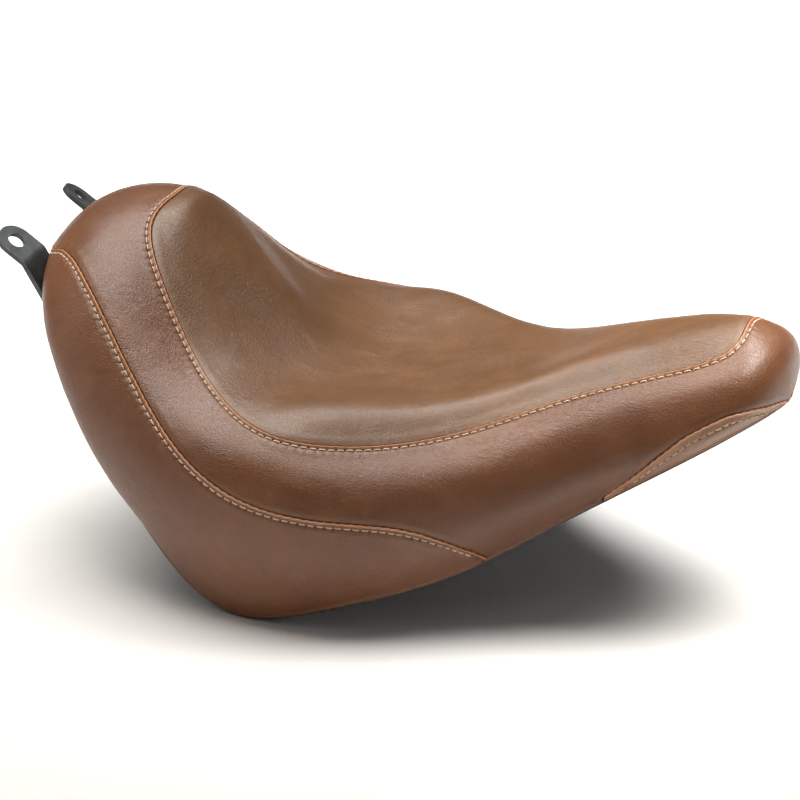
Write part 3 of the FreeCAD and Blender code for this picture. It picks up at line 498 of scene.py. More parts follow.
def calm(P, idx, passes=40):
    """Evens out the two ends of the centre line, where the columns of the grid meet."""
    n, r = idx.shape
    k0 = max(0, r - 26)
    Q = P.copy()
    u = fold(U)
    wgt = np.maximum(np.exp(-(u / 1.5) ** 2), np.exp(-((11 - u) / 1.3) ** 2))[:, None]
    wgt = wgt * sstep(np.arange(k0, r), k0, r - 8)[None, :]
    for _ in range(passes):
        G = Q[idx[:, k0:]]
        up = np.concatenate([G[:, 1:], G[(-np.arange(n)) % n, -2][:, None]], 1)
        dn = np.concatenate([Q[idx[:, k0 - 1]][:, None], G[:, :-1]], 1)
        a = 0.25 * (np.roll(G, 1, 0) + np.roll(G, -1, 0) + up + dn)
        G = G + (a - G) * wgt[..., None] * 0.6
        Q[idx[:, k0:]] = G
    return Q


def panel(name, cols, loop_u, lo, hi, low, high, n_mid, height, weld=False, thin_rows=None):
    """A closed leather panel: relief outside, plain flesh side 1.5 mm in, edges joined."""
    us = U[cols] if not isinstance(cols, np.ndarray) or cols.dtype.kind != "f" else cols
    V = v_rows(us, lo, hi, low, high, n_mid)
    nc, nr = V.shape
    UU = np.broadcast_to(us[:, None], V.shape)
    P, Nn = hang(S(UU, V), normal(UU, np.maximum(V, 0)), UU, V)
    flat = P.reshape(-1, 3)
    (d1, s1), (d2, s2), (d3, s3), (d4, s4) = seam_data(flat)
    near3 = np.where(d3 < d4, d3, d4)
    arc3 = np.where(d3 < d4, s3, s4)
    data = [a.reshape(nc, nr) for a in (d1, s1, d2, s2, near3, arc3)]
    idx = np.arange(nc * nr).reshape(nc, nr)
    if weld:
        for c in range(nc // 2 + 1, nc):
            idx[c, -1] = idx[nc - c, -1]
        Q = calm(flat, idx)
        P = Q[idx]
        dv = np.empty_like(P)
        dv[:, 1:-1] = P[:, 2:] - P[:, :-2]
        dv[:, 0] = P[:, 1] - P[:, 0]
        dv[:, -1] = P[(-np.arange(nc)) % nc, -2] - P[:, -2]
        du = np.roll(P, -1, 0) - np.roll(P, 1, 0)
        N2 = unit(np.cross(du, dv))
        blend = sstep(V, 5.6, 6.2)[..., None]
        N2[:, -1] = unit(N2[:, -1] + N2[(-np.arange(nc)) % nc, -1])
        Nn = unit(Nn * (1 - blend) + N2 * blend)
    low_h = low_relief(UU, V, P, data[2], data[3])
    if weld:
        low_h[:, -1] = low_h[np.minimum(np.arange(nc), (-np.arange(nc)) % nc), -1]
    h = low_h + height(*data, V, UU)
    outer = P + h[..., None] * Nn
    if weld:
        outer[:, -1] = outer[np.minimum(np.arange(nc), (-np.arange(nc)) % nc), -1]
    rows = np.arange(nr) if thin_rows is None else np.unique(
        np.concatenate([[0], np.arange(2, nr - 1, thin_rows), [nr - 1]]))
    thick = T_LEATHER * 1.02 - 0.5 * sstep(0.03 - V, 0, 0.03)
    inner = (P - thick[..., None] * Nn)[:, rows]
    ni = len(rows)
    verts = np.concatenate([outer.reshape(-1, 3), inner.reshape(-1, 3)])
    jdx = nc * nr + np.arange(nc * ni).reshape(nc, ni)
    if weld:
        for c in range(nc // 2 + 1, nc):
            jdx[c, -1] = jdx[nc - c, -1]
    faces = [quads(idx, loop_u), tris(idx, loop_u), quads(jdx, loop_u, True), tris(jdx, loop_u, True)]
    rim = np.stack([jdx[:, 0], idx[:, 0]], 1)
    faces.append(quads(rim, loop_u))
    if not weld:
        rim = np.stack([idx[:, -1], jdx[:, -1]], 1)
        faces.append(quads(rim, loop_u))
    if not loop_u:
        rim = np.stack([idx[0, rows], jdx[0]], 0)
        faces.append(quads(rim, False, True))
        rim = np.stack([idx[-1, rows], jdx[-1]], 0)
        faces.append(quads(rim, False))
    used = np.zeros(len(verts), bool)
    for f in faces:
        used[f.ravel()] = True
    remap = np.cumsum(used) - 1
    att = {}
    for k, a in zip(("d1", "s1", "d2", "s2", "d3", "s3"), data):
        att[k] = np.concatenate([a.ravel(), a[:, rows].ravel()])[used]
    att["v"] = np.concatenate([V.ravel(), V[:, rows].ravel()])[used]
    att["u"] = np.concatenate([fold(UU).ravel(), fold(UU)[:, rows].ravel()])[used]
    att["inside"] = np.concatenate([np.zeros(nc * nr), np.ones(nc * ni)])[used]
    return make_mesh(name, verts[used], [remap[f] for f in faces], att)


def h_insert(d1, s1, d2, s2, d3, s3, V, UU):
    return tucked(d1)


def h_band(d1, s1, d2, s2, d3, s3, V, UU):
    a = lapped(d1, s1, SET1, SEAM1.pitch)
    return a + tucked(d2) + tucked(d3)


def h_skirt(d1, s1, d2, s2, d3, s3, V, UU):
    return lapped(d2, s2, SET2, SEAM2.pitch)


def h_gusset(d1, s1, d2, s2, d3, s3, V, UU):
    fade = sstep(s3, 8, 30) * (1 - sstep(s3, SEAM3.L - 30, SEAM3.L - 8))
    return lapped(d3, s3, SET3, SEAM3.pitch, 0.5) * (0.45 + 0.55 * fade)


allc = np.arange(N)
insert = panel("insert_leather", allc, True, np.full(N, 4.0), np.full(N, 7.0), FINE, ROUGH, 26,
               h_insert, weld=True, thin_rows=4)
band = panel("band_leather", allc, True, np.where(BAND_LO <= 0, lip(U), BAND_LO), np.full(N, 4.0), FINE, FINE, 20, h_band, thin_rows=4)

K = int(np.argmin(np.abs(U[:HALF] - 7.38))) - 1
sk_cols = np.arange(-K, K + 1) % N
skirt = panel("skirt_leather", sk_cols, False, lip(U[sk_cols]), skirt_v(U[sk_cols]), ROUGH, FINE, 14,
              h_skirt)
ga = int(np.argmin(np.abs(U[:HALF] - 8.42))) + 2
gb = int(np.argmin(np.abs(U[:HALF + 1] - 10.92))) - 1
gussets = []
for side, c in (("right", np.arange(ga, gb + 1)), ("left", np.arange(N - gb, N - ga + 1))):
    gussets.append(panel("gusset_leather_" + side, c, False, lip(U[c]), nose_v(U[c]),
                         ROUGH[:5], FINE, 8, h_gusset))


# ------------------------------------------------------------------ stitches
def on_surface(u, v, B, setback, n_it=5):
    """The (u, v) at a distance along B from (u, v)."""
    tgt = S(u, v) + B * setback
    h = 0.01
    for _ in range(n_it):
        p = S(u, v)
        a, b = (S(u + h, v) - S(u - h, v)) / (2 * h), (S(u, v + h) - S(u, v - h)) / (2 * h)
        e = tgt - p
        aa, ab, bb = (a * a).sum(-1), (a * b).sum(-1), (b * b).sum(-1)
        ae, be = (a * e).sum(-1), (b * e).sum(-1)
        det = aa * bb - ab * ab
        u = u + (bb * ae - ab * be) / det
        v = v + (aa * be - ab * ae) / det
    return u, v


def stitch_row(name, seam, setback, height, side, s_from, s_to, along=None):
    """Single stitches with a twisted thread, each dipping into its two needle holes."""
    pitch = seam.pitch
    k0, k1 = math.ceil(s_from / pitch), math.floor(s_to / pitch)
    rs = np.random.RandomState(len(name) * 7 + 3)
    nseg, nside = 13, 10
    V0, F0 = [], []
    base = 0
    t = np.linspace(0, 1, nseg)
    for k in range(k0, k1):
        a = k * pitch + 0.55 + rs.uniform(-0.18, 0.18)
        b = (k + 1) * pitch - 0.55 + rs.uniform(-0.18, 0.18)
        s = a + (b - a) * t
        uu, vv = np.interp(s, seam.s, seam.u), np.interp(s, seam.s, seam.v)
        T = unit(np.stack([np.interp(s, seam.s, seam.t[:, i]) for i in range(3)], -1))
        Nn = normal(uu, vv)
        B = unit(np.cross(Nn, T)) * side
        off = setback + rs.uniform(-0.12, 0.12) + 0.10 * (t - 0.5) * rs.uniform(-1, 1)
        uu, vv = on_surface(uu, vv, B, off[:, None])
        P = S(uu, vv)
        Nn = normal(uu, vv)
        d2, s2 = SEAM2.near(P)
        base_h = low_relief(uu, vv, P, d2, s2) + height
        arch = -0.85 * (np.abs(2 * t - 1) ** 5) + 0.34 * (1 - np.abs(2 * t - 1) ** 2.2)
        C = P + (base_h + arch)[:, None] * Nn
        Tn = unit(np.gradient(C, axis=0))
        X = unit(np.cross(Tn, Nn))
        Y = np.cross(X, Tn)
        r = 0.58 * (1 - 0.35 * np.abs(2 * t - 1) ** 4)
        th = np.arange(nside) * 2 * np.pi / nside
        tw = t * (b - a) / 2.3 * 2 * np.pi + rs.uniform(0, 6)
        rad = r[:, None] * (1 + 0.13 * np.cos(2 * (th[None, :] - tw[:, None])))
        ring = C[:, None] + rad[..., None] * (np.cos(th)[None, :, None] * X[:, None]
                                              + 0.86 * np.sin(th)[None, :, None] * Y[:, None])
        pts = np.concatenate([ring.reshape(-1, 3), C[:1] - 0.12 * Tn[:1], C[-1:] + 0.12 * Tn[-1:]])
        i = np.arange(nseg * nside).reshape(nseg, nside) + base
        q = np.stack([i[:-1], i[1:], np.roll(i[1:], -1, 1), np.roll(i[:-1], -1, 1)], -1).reshape(-1, 4)
        e0, e1 = base + nseg * nside, base + nseg * nside + 1
        c0 = np.stack([np.full(nside, e0), i[0], np.roll(i[0], -1)], 1)
        c1 = np.stack([np.full(nside, e1), np.roll(i[-1], -1), i[-1]], 1)
        V0.append(pts)
        F0.append((q, np.concatenate([c0, c1])))
        base += len(pts)
    ob = make_mesh(name, np.concatenate(V0), [np.concatenate([f[0] for f in F0]),
                                              np.concatenate([f[1] for f in F0])])
    return ob


def line_height(setback):
    return 0.36 * 0.5 - 0.10


st1 = stitch_row("stitches_insert", SEAM1, SET1, line_height(SET1), -1, 0.0, SEAM1.L + 0.01)
st2 = stitch_row("stitches_skirt", SEAM2, SET2, line_height(SET2), -1, 12.0, SEAM2.L - 12.0)
st3 = stitch_row("stitches_nose_right", SEAM3, SET3, line_height(SET3), -1, 26.0, SEAM3.L - 24.0)
st4 = stitch_row("stitches_nose_left", SEAM4, SET3, line_height(SET3), 1, 26.0, SEAM4.L - 24.0)


# ------------------------------------------------------------------ the foam cushion under the cover
def cushion():
    us = np.arange(220) * 22 / 220
    vs = np.linspace(0, 7, 57)
    ws = np.linspace(0, 1, 19)
    UU, VV = np.meshgrid(us, vs, indexing="ij")
    P = S(UU, VV)
    Nn = normal(UU, VV)
    d2, s2 = SEAM2.near(P.reshape(-1, 3))
    d1, _ = SEAM1.near(P.reshape(-1, 3))
    d1, d2, s2 = (x.reshape(UU.shape) for x in (d1, d2, s2))
    h = swell(UU, VV) - 2.25 - 0.9 * np.exp(-(d1 / 5) ** 2) - 0.9 * np.exp(-(d2 / 5) ** 2)
    h = h + 0.10 * N_MID.fbm(P / 6.0, 2)
    top = P + h[..., None] * Nn
    bot = under(us[:, None], ws[None, :]) + 3.45 * under_normal(us[:, None], ws[None, :])
    pts = np.concatenate([top, bot], 1)
    nu, r = pts.shape[:2]
    idx = np.arange(nu * r).reshape(nu, r)
    for row in (len(vs) - 1, r - 1):
        for c in range(nu // 2 + 1, nu):
            idx[c, row] = idx[nu - c, row]
    q1 = idx[:, :len(vs)]
    q2 = idx[:, [0] + list(range(len(vs), r))]
    faces = [quads(q1, True), tris(q1, True), quads(q2, True, True), tris(q2, True, True)]
    used = np.zeros(nu * r, bool)
    for f in faces:
        used[f.ravel()] = True
    remap = np.cumsum(used) - 1
    return make_mesh("foam_cushion", pts.reshape(-1, 3)[used], [remap[f] for f in faces])


foam = cushion()

# ------------------------------------------------------------------ materials
def lin(r, g_, b):
    f = lambda c: (c / 255 / 12.92) if c / 255 <= 0.04045 else ((c / 255 + 0.055) / 1.055) ** 2.4
    return (f(r), f(g_), f(b), 1.0)


class Tree:
    """Short names for building a node material."""

    def __init__(self, name):
        self.mat = bpy.data.materials.new(name)
        self.mat.use_nodes = True
        self.nt = self.mat.node_tree
        self.nt.nodes.clear()
        self.out = self.nt.nodes.new("ShaderNodeOutputMaterial")
        self.bsdf = self.nt.nodes.new("ShaderNodeBsdfPrincipled")
        self.nt.links.new(self.bsdf.outputs[0], self.out.inputs[0])
        self.tc = self.nt.nodes.new("ShaderNodeTexCoord")
        self.obj = self.tc.outputs["Object"]

    def put(self, sock, val):
        if isinstance(val, bpy.types.NodeSocket):
            self.nt.links.new(val, sock)
        elif val is not None:
            sock.default_value = val

    def math(self, op, a, b=None, c=None, clamp=False):
        n = self.nt.nodes.new("ShaderNodeMath")
        n.operation, n.use_clamp = op, clamp
        for k, x in enumerate((a, b, c)):
            if x is not None:
                self.put(n.inputs[k], x)
        return n.outputs[0]

    def mul(self, a, b): return self.math("MULTIPLY", a, b)
    def add(self, a, b): return self.math("ADD", a, b)
    def sub(self, a, b): return self.math("SUBTRACT", a, b)
    def mx(self, a, b): return self.math("MAXIMUM", a, b)

    def ramp(self, x, lo, hi, a=0.0, b=1.0, smooth=True):
        n = self.nt.nodes.new("ShaderNodeMapRange")
        n.interpolation_type = "SMOOTHSTEP" if smooth else "LINEAR"
        self.put(n.inputs["Value"], x)
        for k, v in (("From Min", lo), ("From Max", hi), ("To Min", a), ("To Max", b)):
            self.put(n.inputs[k], v)
        return n.outputs["Result"]

    def bell(self, x, centre, width):
        d = self.math("DIVIDE", self.sub(x, centre), width)
        return self.math("POWER", 2.71828, self.mul(self.mul(d, d), -1.0))

    def noise(self, scale, detail=4, rough=0.55, distort=0.0, vec=None, dim="3D"):
        n = self.nt.nodes.new("ShaderNodeTexNoise")
        n.noise_dimensions = dim
        self.put(n.inputs["Vector"], vec if vec is not None else self.obj)
        for k, v in (("Scale", scale), ("Detail", detail), ("Roughness", rough), ("Distortion", distort)):
            n.inputs[k].default_value = v
        return n.outputs["Fac"]

    def warp(self, amount, scale, vec=None):
        """The coordinates pushed about by a noise."""
        n = self.nt.nodes.new("ShaderNodeTexNoise")
        self.put(n.inputs["Vector"], vec if vec is not None else self.obj)
        n.inputs["Scale"].default_value = scale
        n.inputs["Detail"].default_value = 2
        s = self.nt.nodes.new("ShaderNodeVectorMath")
        s.operation = "SUBTRACT"
        self.put(s.inputs[0], n.outputs["Color"])
        s.inputs[1].default_value = (0.5, 0.5, 0.5)
        m = self.nt.nodes.new("ShaderNodeVectorMath")
        m.operation = "MULTIPLY_ADD"
        self.put(m.inputs[0], s.outputs[0])
        m.inputs[1].default_value = (amount,) * 3
        self.put(m.inputs[2], vec if vec is not None else self.obj)
        return m.outputs[0]

    def scaled(self, sx, sy, sz, rz=0.0, vec=None, ry=0.0):
        n = self.nt.nodes.new("ShaderNodeMapping")
        self.put(n.inputs["Vector"], vec if vec is not None else self.obj)
        n.inputs["Scale"].default_value = (sx, sy, sz)
        n.inputs["Rotation"].default_value = (0, ry, rz)
        return n.outputs[0]

    def voronoi(self, scale, feature="F1", vec=None, smooth=None, rand=1.0):
        n = self.nt.nodes.new("ShaderNodeTexVoronoi")
        n.feature = feature
        self.put(n.inputs["Vector"], vec if vec is not None else self.obj)
        n.inputs["Scale"].default_value = scale
        n.inputs["Randomness"].default_value = rand
        if smooth is not None and "Smoothness" in n.inputs:
            n.inputs["Smoothness"].default_value = smooth
        return n.outputs["Distance"]

    def attr(self, name):
        n = self.nt.nodes.new("ShaderNodeAttribute")
        n.attribute_name = name
        return n.outputs["Fac"]

    def mix(self, f, a, b, mode="MIX"):
        n = self.nt.nodes.new("ShaderNodeMix")
        n.data_type, n.blend_type = "RGBA", mode
        n.clamp_factor = True
        self.put(n.inputs["Factor"], f)
        self.put(n.inputs[6], a)
        self.put(n.inputs[7], b)
        return n.outputs[2]

    def hsv(self, col, hue=0.5, sat=1.0, val=1.0):
        n = self.nt.nodes.new("ShaderNodeHueSaturation")
        self.put(n.inputs["Hue"], hue)
        self.put(n.inputs["Saturation"], sat)
        self.put(n.inputs["Value"], val)
        self.put(n.inputs["Color"], col)
        return n.outputs[0]

    def bump(self, height, strength, distance, below=None):
        n = self.nt.nodes.new("ShaderNodeBump")
        n.inputs["Strength"].default_value = strength
        n.inputs["Distance"].default_value = distance
        self.put(n.inputs["Height"], height)
        if below is not None:
            self.put(n.inputs["Normal"], below)
        return n.outputs[0]

    def set(self, **kw):
        for k, v in kw.items():
            self.put(self.bsdf.inputs[k.replace("_", " ")], v)


def leather(name, base, deep, light, tan, sewn=None, tucked_in=(), crinkled=False):
    """Waxed pull-up leather. sewn is (distance attribute, arc attribute, set, pitch) for the edge that is
    folded and stitched on this panel, tucked_in the distance attributes of the edges that go under."""
    t = Tree(name)
    warped = t.warp(0.0035, 60)
    # colour: slow clouds, blotches, fine mottling
    slow = t.noise(9.0, 3, 0.5)
    blot = t.noise(34.0, 5, 0.6, 0.4)
    fine = t.noise(230.0, 4, 0.65)
    col = t.mix(t.ramp(slow, 0.34, 0.66, 0.10, 0.70), base, deep)
    col = t.mix(t.mul(t.ramp(blot, 0.46, 0.74), 0.16), col, light)
    col = t.mix(t.mul(t.ramp(blot, 0.52, 0.28), 0.34), col, deep)
    # pull-up scuffs: thin pale marks that run along the hide
    q = t.scaled(18, 95, 95, 0.35, t.warp(0.02, 14))
    scuff = t.noise(1.0, 6, 0.62, 0.6, q)
    scuff_m = t.mul(t.ramp(scuff, 0.60, 0.73), t.ramp(t.noise(17.0, 2), 0.46, 0.62))
    col = t.mix(t.mul(scuff_m, 0.20), col, light)
    q2 = t.scaled(120, 26, 60, -0.5, t.warp(0.03, 9))
    scr = t.mul(t.ramp(t.noise(1.0, 5, 0.6, 0.3, q2), 0.63, 0.70), t.ramp(t.noise(21.0, 2), 0.50, 0.64))
    col = t.mix(t.mul(scr, 0.16), col, light)
    col = t.mix(t.ramp(fine, 0.30, 0.75, 0.0, 0.30), col, deep)
    # grain: pebbles, creases between them, and patches of long fine wrinkles
    cells = t.voronoi(780.0, "SMOOTH_F1", warped, 0.35)
    crease = t.voronoi(430.0, "DISTANCE_TO_EDGE", t.warp(0.0022, 190))
    crease_m = t.ramp(crease, 0.0, 0.085)
    patch = t.ramp(t.noise(16.0, 3, 0.55), 0.44, 0.62)
    if crinkled:
        # the hide has creased finely along the thigh and behind it
        u_, v_ = t.attr("u"), t.attr("v")
        side = t.mul(t.bell(u_, 7.5, 1.5), t.bell(v_, 3.45, 0.75))
        rear = t.mul(t.bell(u_, 2.75, 0.75), t.bell(v_, 3.4, 0.8))
        patch = t.mx(t.mul(patch, 0.45), t.mul(t.mx(side, rear), t.ramp(t.noise(38.0, 2), 0.30, 0.55, 0.55, 1.25)))
    wr = t.noise(1.0, 3, 0.55, 1.3, t.scaled(125, 470, 470, 0.0, t.warp(0.011, 34)))
    wr2 = t.noise(1.0, 3, 0.55, 1.4, t.scaled(360, 140, 260, 0.6, t.warp(0.013, 26)))
    long_w = t.add(t.mul(wr, 0.6), t.mul(wr2, 0.4))
    col = t.mix(t.mul(t.sub(1.0, crease_m), 0.30), col, deep)
    col = t.mix(t.mul(t.mul(t.ramp(long_w, 0.52, 0.38), patch), 0.35), col, deep)
    rough = t.ramp(blot, 0.3, 0.7, 0.33, 0.42)
    rough = t.add(rough, t.mul(t.ramp(fine, 0.35, 0.7), 0.05))
    rough = t.add(rough, t.mul(scuff_m, 0.08))
    height = t.add(t.mul(cells, 0.12), t.mul(crease_m, 0.16))
    height = t.add(height, t.mul(t.mul(long_w, t.add(patch, 0.25)), 1.60))
    height = t.add(height, t.mul(fine, 0.10))
    seam_h = None
    if sewn:
        d, s, setback, pitch = t.attr(sewn[0]), t.attr(sewn[1]), sewn[2], sewn[3]
        ph = t.mul(s, 2 * math.pi / pitch)
        wob = t.math("COSINE", ph)
        dd = t.add(d, t.mul(wob, 0.22))
        strip = t.ramp(d, setback - 0.3, setback - 1.0)
        col = t.mix(t.mul(strip, t.ramp(t.noise(90.0, 3), 0.3, 0.7, 0.42, 0.75)), col, tan)
        # painted highlight: the folded ridge beside the seam takes a bright colour where the top light catches it
        edge = t.bell(dd, 0.85, 0.62)
        col = t.mix(t.mul(edge, t.ramp(t.noise(260.0, 3), 0.25, 0.7, 0.70, 1.0)), col, RIDGE_HIGHLIGHT)
        # painted shade: the seam valley where the folded edge turns down is darkened
        seam_valley_shade = t.ramp(dd, 0.30, 0.05)
        col = t.mix(t.mul(seam_valley_shade, 0.8), col, lin(84, 32, 14))
        # needle holes, a stitch apart on the sewn line, painted dark as the shade inside them
        x = t.math("PINGPONG", s, pitch / 2)
        y = t.sub(d, setback)
        r = t.math("SQRT", t.add(t.mul(x, x), t.mul(y, y)))
        hole = t.ramp(r, 0.95, 0.45)
        col = t.mix(t.mul(hole, 0.92), col, lin(30, 13, 7))
        # painted shade along the stitch line, where the thread pulls the leather in
        stitch_groove_shade = t.mul(t.bell(y, 0.0, 0.8), 0.35)
        col = t.mix(stitch_groove_shade, col, deep)
        rough = t.sub(rough, t.mul(edge, 0.06))
        pull = t.mul(t.math("POWER", t.add(t.mul(wob, 0.5), 0.5), 2.0), t.bell(d, setback, 2.4))
        seam_h = t.sub(t.mul(pull, -0.7), t.mul(hole, 1.4))
    for a in tucked_in:
        d = t.attr(a)
        # painted shade: the seam valley where this panel's edge goes under is darkened
        col = t.mix(t.ramp(d, 0.6, 0.1, 0.0, 0.80), col, lin(88, 34, 14))
        # painted highlight: a pale band where the edge rolls over towards the seam
        col = t.mix(t.mul(t.bell(d, 2.0, 1.6), 0.12), col, light)
    # the flesh side is paler and rough
    ins = t.attr("inside")
    col = t.mix(ins, col, lin(150, 112, 78))
    rough = t.mx(rough, t.mul(ins, 0.9))
    b1 = t.bump(height, 0.62, 0.00080)
    if seam_h is not None:
        b1 = t.bump(seam_h, 0.8, 0.0006, b1)
    t.set(Base_Color=col, Roughness=rough, Normal=b1)
    t.set(IOR=1.5)
    t.set(Specular_IOR_Level=0.62, Coat_Weight=0.08, Coat_Roughness=0.30)
    return t.mat


# colour of the painted highlight on the folded seam ridges
RIDGE_HIGHLIGHT = lin(200, 138, 98)
BASE, DEEP, LIGHT, TAN = lin(116, 68, 31), lin(94, 52, 22), lin(166, 113, 66), lin(136, 88, 46)
M_INSERT = leather("leather_insert", lin(112, 73, 36), lin(92, 58, 26), lin(152, 108, 64), TAN, None, ("d1",))
M_BAND = leather("leather_band", BASE, DEEP, LIGHT, TAN, ("d1", "s1", SET1, SEAM1.pitch), ("d2", "d3"), True)
M_SKIRT = leather("leather_skirt", lin(124, 75, 39), lin(102, 58, 29), lin(166, 116, 80), TAN,
                  ("d2", "s2", SET2, SEAM2.pitch))
M_GUSSET = leather("leather_gusset", lin(142, 96, 64), lin(120, 78, 50), lin(190, 142, 104), lin(160, 110, 68),
                   ("d3", "s3", SET3, SEAM3.pitch))


def thread_mat():
    t = Tree("thread_beige")
    n = t.noise(900.0, 3)
    fib = t.noise(1.0, 3, 0.6, 0.2, t.scaled(3200, 3200, 900, 0.5))
    col = t.mix(t.ramp(n, 0.3, 0.7), lin(226, 200, 172), lin(202, 172, 142))
    col = t.mix(t.mul(t.ramp(t.noise(60.0, 2), 0.45, 0.7), 0.35), col, lin(184, 148, 112))
    t.set(Base_Color=col, Roughness=t.ramp(fib, 0.3, 0.7, 0.55, 0.78),
          Normal=t.bump(fib, 0.5, 0.00015))
    t.set(Sheen_Weight=0.3, Specular_IOR_Level=0.35)
    return t.mat


def foam_mat():
    t = Tree("foam_open_cell")
    c = t.voronoi(900.0, "F1")
    n = t.noise(60.0, 4)
    col = t.mix(t.ramp(n, 0.3, 0.7), lin(206, 196, 160), lin(186, 172, 130))
    col = t.mix(t.ramp(c, 0.35, 0.1, 0.0, 0.5), col, lin(140, 124, 90))
    t.set(Base_Color=col, Roughness=t.ramp(c, 0.0, 0.6, 0.98, 0.86), Normal=t.bump(c, 0.6, 0.0005))
    return t.mat


def flesh_mat():
    t = Tree("leather_flesh_side")
    n, f = t.noise(45.0, 5, 0.6), t.noise(700.0, 4, 0.7, 1.0)
    col = t.mix(t.ramp(n, 0.3, 0.7), lin(158, 118, 82), lin(128, 90, 60))
    col = t.mix(t.ramp(f, 0.4, 0.7, 0.0, 0.4), col, lin(182, 146, 108))
    t.set(Base_Color=col, Roughness=t.ramp(f, 0.3, 0.7, 0.82, 0.95), Normal=t.bump(f, 0.6, 0.0005))
    t.set(Sheen_Weight=0.25)
    return t.mat


def plastic_mat():
    """Moulded pan: black polypropylene with a fine spark texture, dusty scuffs."""
    t = Tree("moulded_pan")
    tex = t.voronoi(1500.0, "SMOOTH_F1", None, 0.5)
    n, s = t.noise(28.0, 5, 0.6), t.noise(1.0, 5, 0.6, 0.3, t.scaled(30, 160, 160, 0.4))
    scr = t.mul(t.ramp(s, 0.62, 0.70), t.ramp(t.noise(12.0, 2), 0.5, 0.62))
    flow = t.noise(1.0, 2, 0.5, 0.8, t.scaled(6, 22, 22))
    col = t.mix(t.ramp(n, 0.3, 0.7), lin(30, 30, 31), lin(44, 43, 42))
    col = t.mix(t.mul(scr, 0.5), col, lin(96, 94, 90))
    col = t.mix(t.ramp(flow, 0.5, 0.8, 0.0, 0.25), col, lin(54, 53, 52))
    t.set(Base_Color=col, Roughness=t.ramp(n, 0.3, 0.7, 0.48, 0.62),
          Normal=t.bump(t.add(tex, t.mul(flow, 0.4)), 0.35, 0.0003))
    return t.mat


def rubber_mat(name, a, b, scale):
    t = Tree(name)
    n, f = t.noise(40.0, 4), t.noise(scale, 4, 0.65)
    col = t.mix(t.ramp(n, 0.35, 0.7), a, b)
    col = t.mix(t.ramp(f, 0.62, 0.75, 0.0, 0.35), col, lin(92, 90, 86))
    t.set(Base_Color=col, Roughness=t.ramp(f, 0.3, 0.7, 0.55, 0.78),
          Normal=t.bump(f, 0.4, 0.0003))
    return t.mat


def steel_mat(name, a, b, metal, r0, r1, wear_and_edge_highlight, edge=0.0006):
    """Coated or plated steel: mottled finish, brushed grain, and bright wear on the sharp edges together with a painted
    highlight along them.
    """
    t = Tree(name)
    n, f = t.noise(55.0, 5, 0.6, 0.3), t.noise(620.0, 4, 0.7)
    br = t.noise(1.0, 3, 0.6, 0.0, t.scaled(2600, 90, 90, 0.2))
    col = t.mix(t.ramp(n, 0.3, 0.7), a, b)
    # painted highlight and wear: where the bevel normal parts from the true normal, the sharp edge takes the bright
    # wear colour
    bev = t.nt.nodes.new("ShaderNodeBevel")
    bev.samples = 4
    bev.inputs["Radius"].default_value = edge
    geo = t.nt.nodes.new("ShaderNodeNewGeometry")
    dp = t.nt.nodes.new("ShaderNodeVectorMath")
    dp.operation = "DOT_PRODUCT"
    t.put(dp.inputs[0], bev.outputs[0])
    t.put(dp.inputs[1], geo.outputs["Normal"])
    e = t.ramp(dp.outputs["Value"], 0.985, 0.90)
    e = t.mul(e, t.ramp(t.noise(300.0, 4), 0.38, 0.60))
    col = t.mix(t.mul(e, 0.8), col, wear_and_edge_highlight)
    col = t.mix(t.ramp(f, 0.62, 0.80, 0.0, 0.35), col, wear_and_edge_highlight)
    t.set(Base_Color=col, Roughness=t.add(t.ramp(n, 0.3, 0.7, r0, r1), t.mul(br, 0.06)),
          Normal=t.bump(t.add(t.mul(f, 0.7), t.mul(br, 0.3)), 0.18, 0.00015))
    t.set(Metallic=metal)
    return t.mat


M_THREAD, M_FOAM, M_FLESH, M_PAN = thread_mat(), foam_mat(), flesh_mat(), plastic_mat()
M_TRIM = rubber_mat("edge_trim_vinyl", lin(46, 34, 28), lin(58, 44, 36), 380.0)
M_BUMPER = rubber_mat("bumper_rubber", lin(28, 28, 29), lin(46, 45, 44), 260.0)
M_BRACKET = steel_mat("bracket_phosphate", lin(70, 74, 76), lin(96, 100, 101), 0.75, 0.40, 0.52, lin(176, 178, 178))
M_ZINC = steel_mat("zinc_plate", lin(168, 168, 160), lin(190, 188, 176), 1.0, 0.26, 0.38, lin(222, 222, 218), 0.0003)
M_DARK = steel_mat("tongue_black_coat", lin(30, 31, 32), lin(46, 47, 48), 0.4, 0.42, 0.55, lin(150, 150, 148))


def dress(ob, mat):
    ob.data.materials.clear()
    ob.data.materials.append(mat)


for ob, mat in ((insert, M_INSERT), (band, M_BAND), (skirt, M_SKIRT), (gussets[0], M_GUSSET),
                (gussets[1], M_GUSSET), (foam, M_FOAM), (st1, M_THREAD), (st2, M_THREAD),
                (st3, M_THREAD), (st4, M_THREAD)):
    dress(ob, mat)

for node, mat in (("base_pan", M_PAN), ("hem_strip", M_FLESH), ("edge_trim", M_TRIM),
                  ("rear_bracket_right", M_BRACKET), ("rear_bracket_left", M_BRACKET),
                  ("bracket_screws", M_ZINC), ("bracket_washers", M_ZINC), ("bracket_spacers", M_ZINC),
                  ("bracket_nuts", M_ZINC), ("nose_tongue", M_DARK), ("tongue_rivets", M_ZINC),
                  ("rubber_bumpers", M_BUMPER), ("hem_tacks", M_ZINC)):
    me = NODE[node].data
    for k in range(max(1, len(me.materials))):
        if k < len(me.materials):
            me.materials[k] = mat
        else:
            me.materials.append(mat)

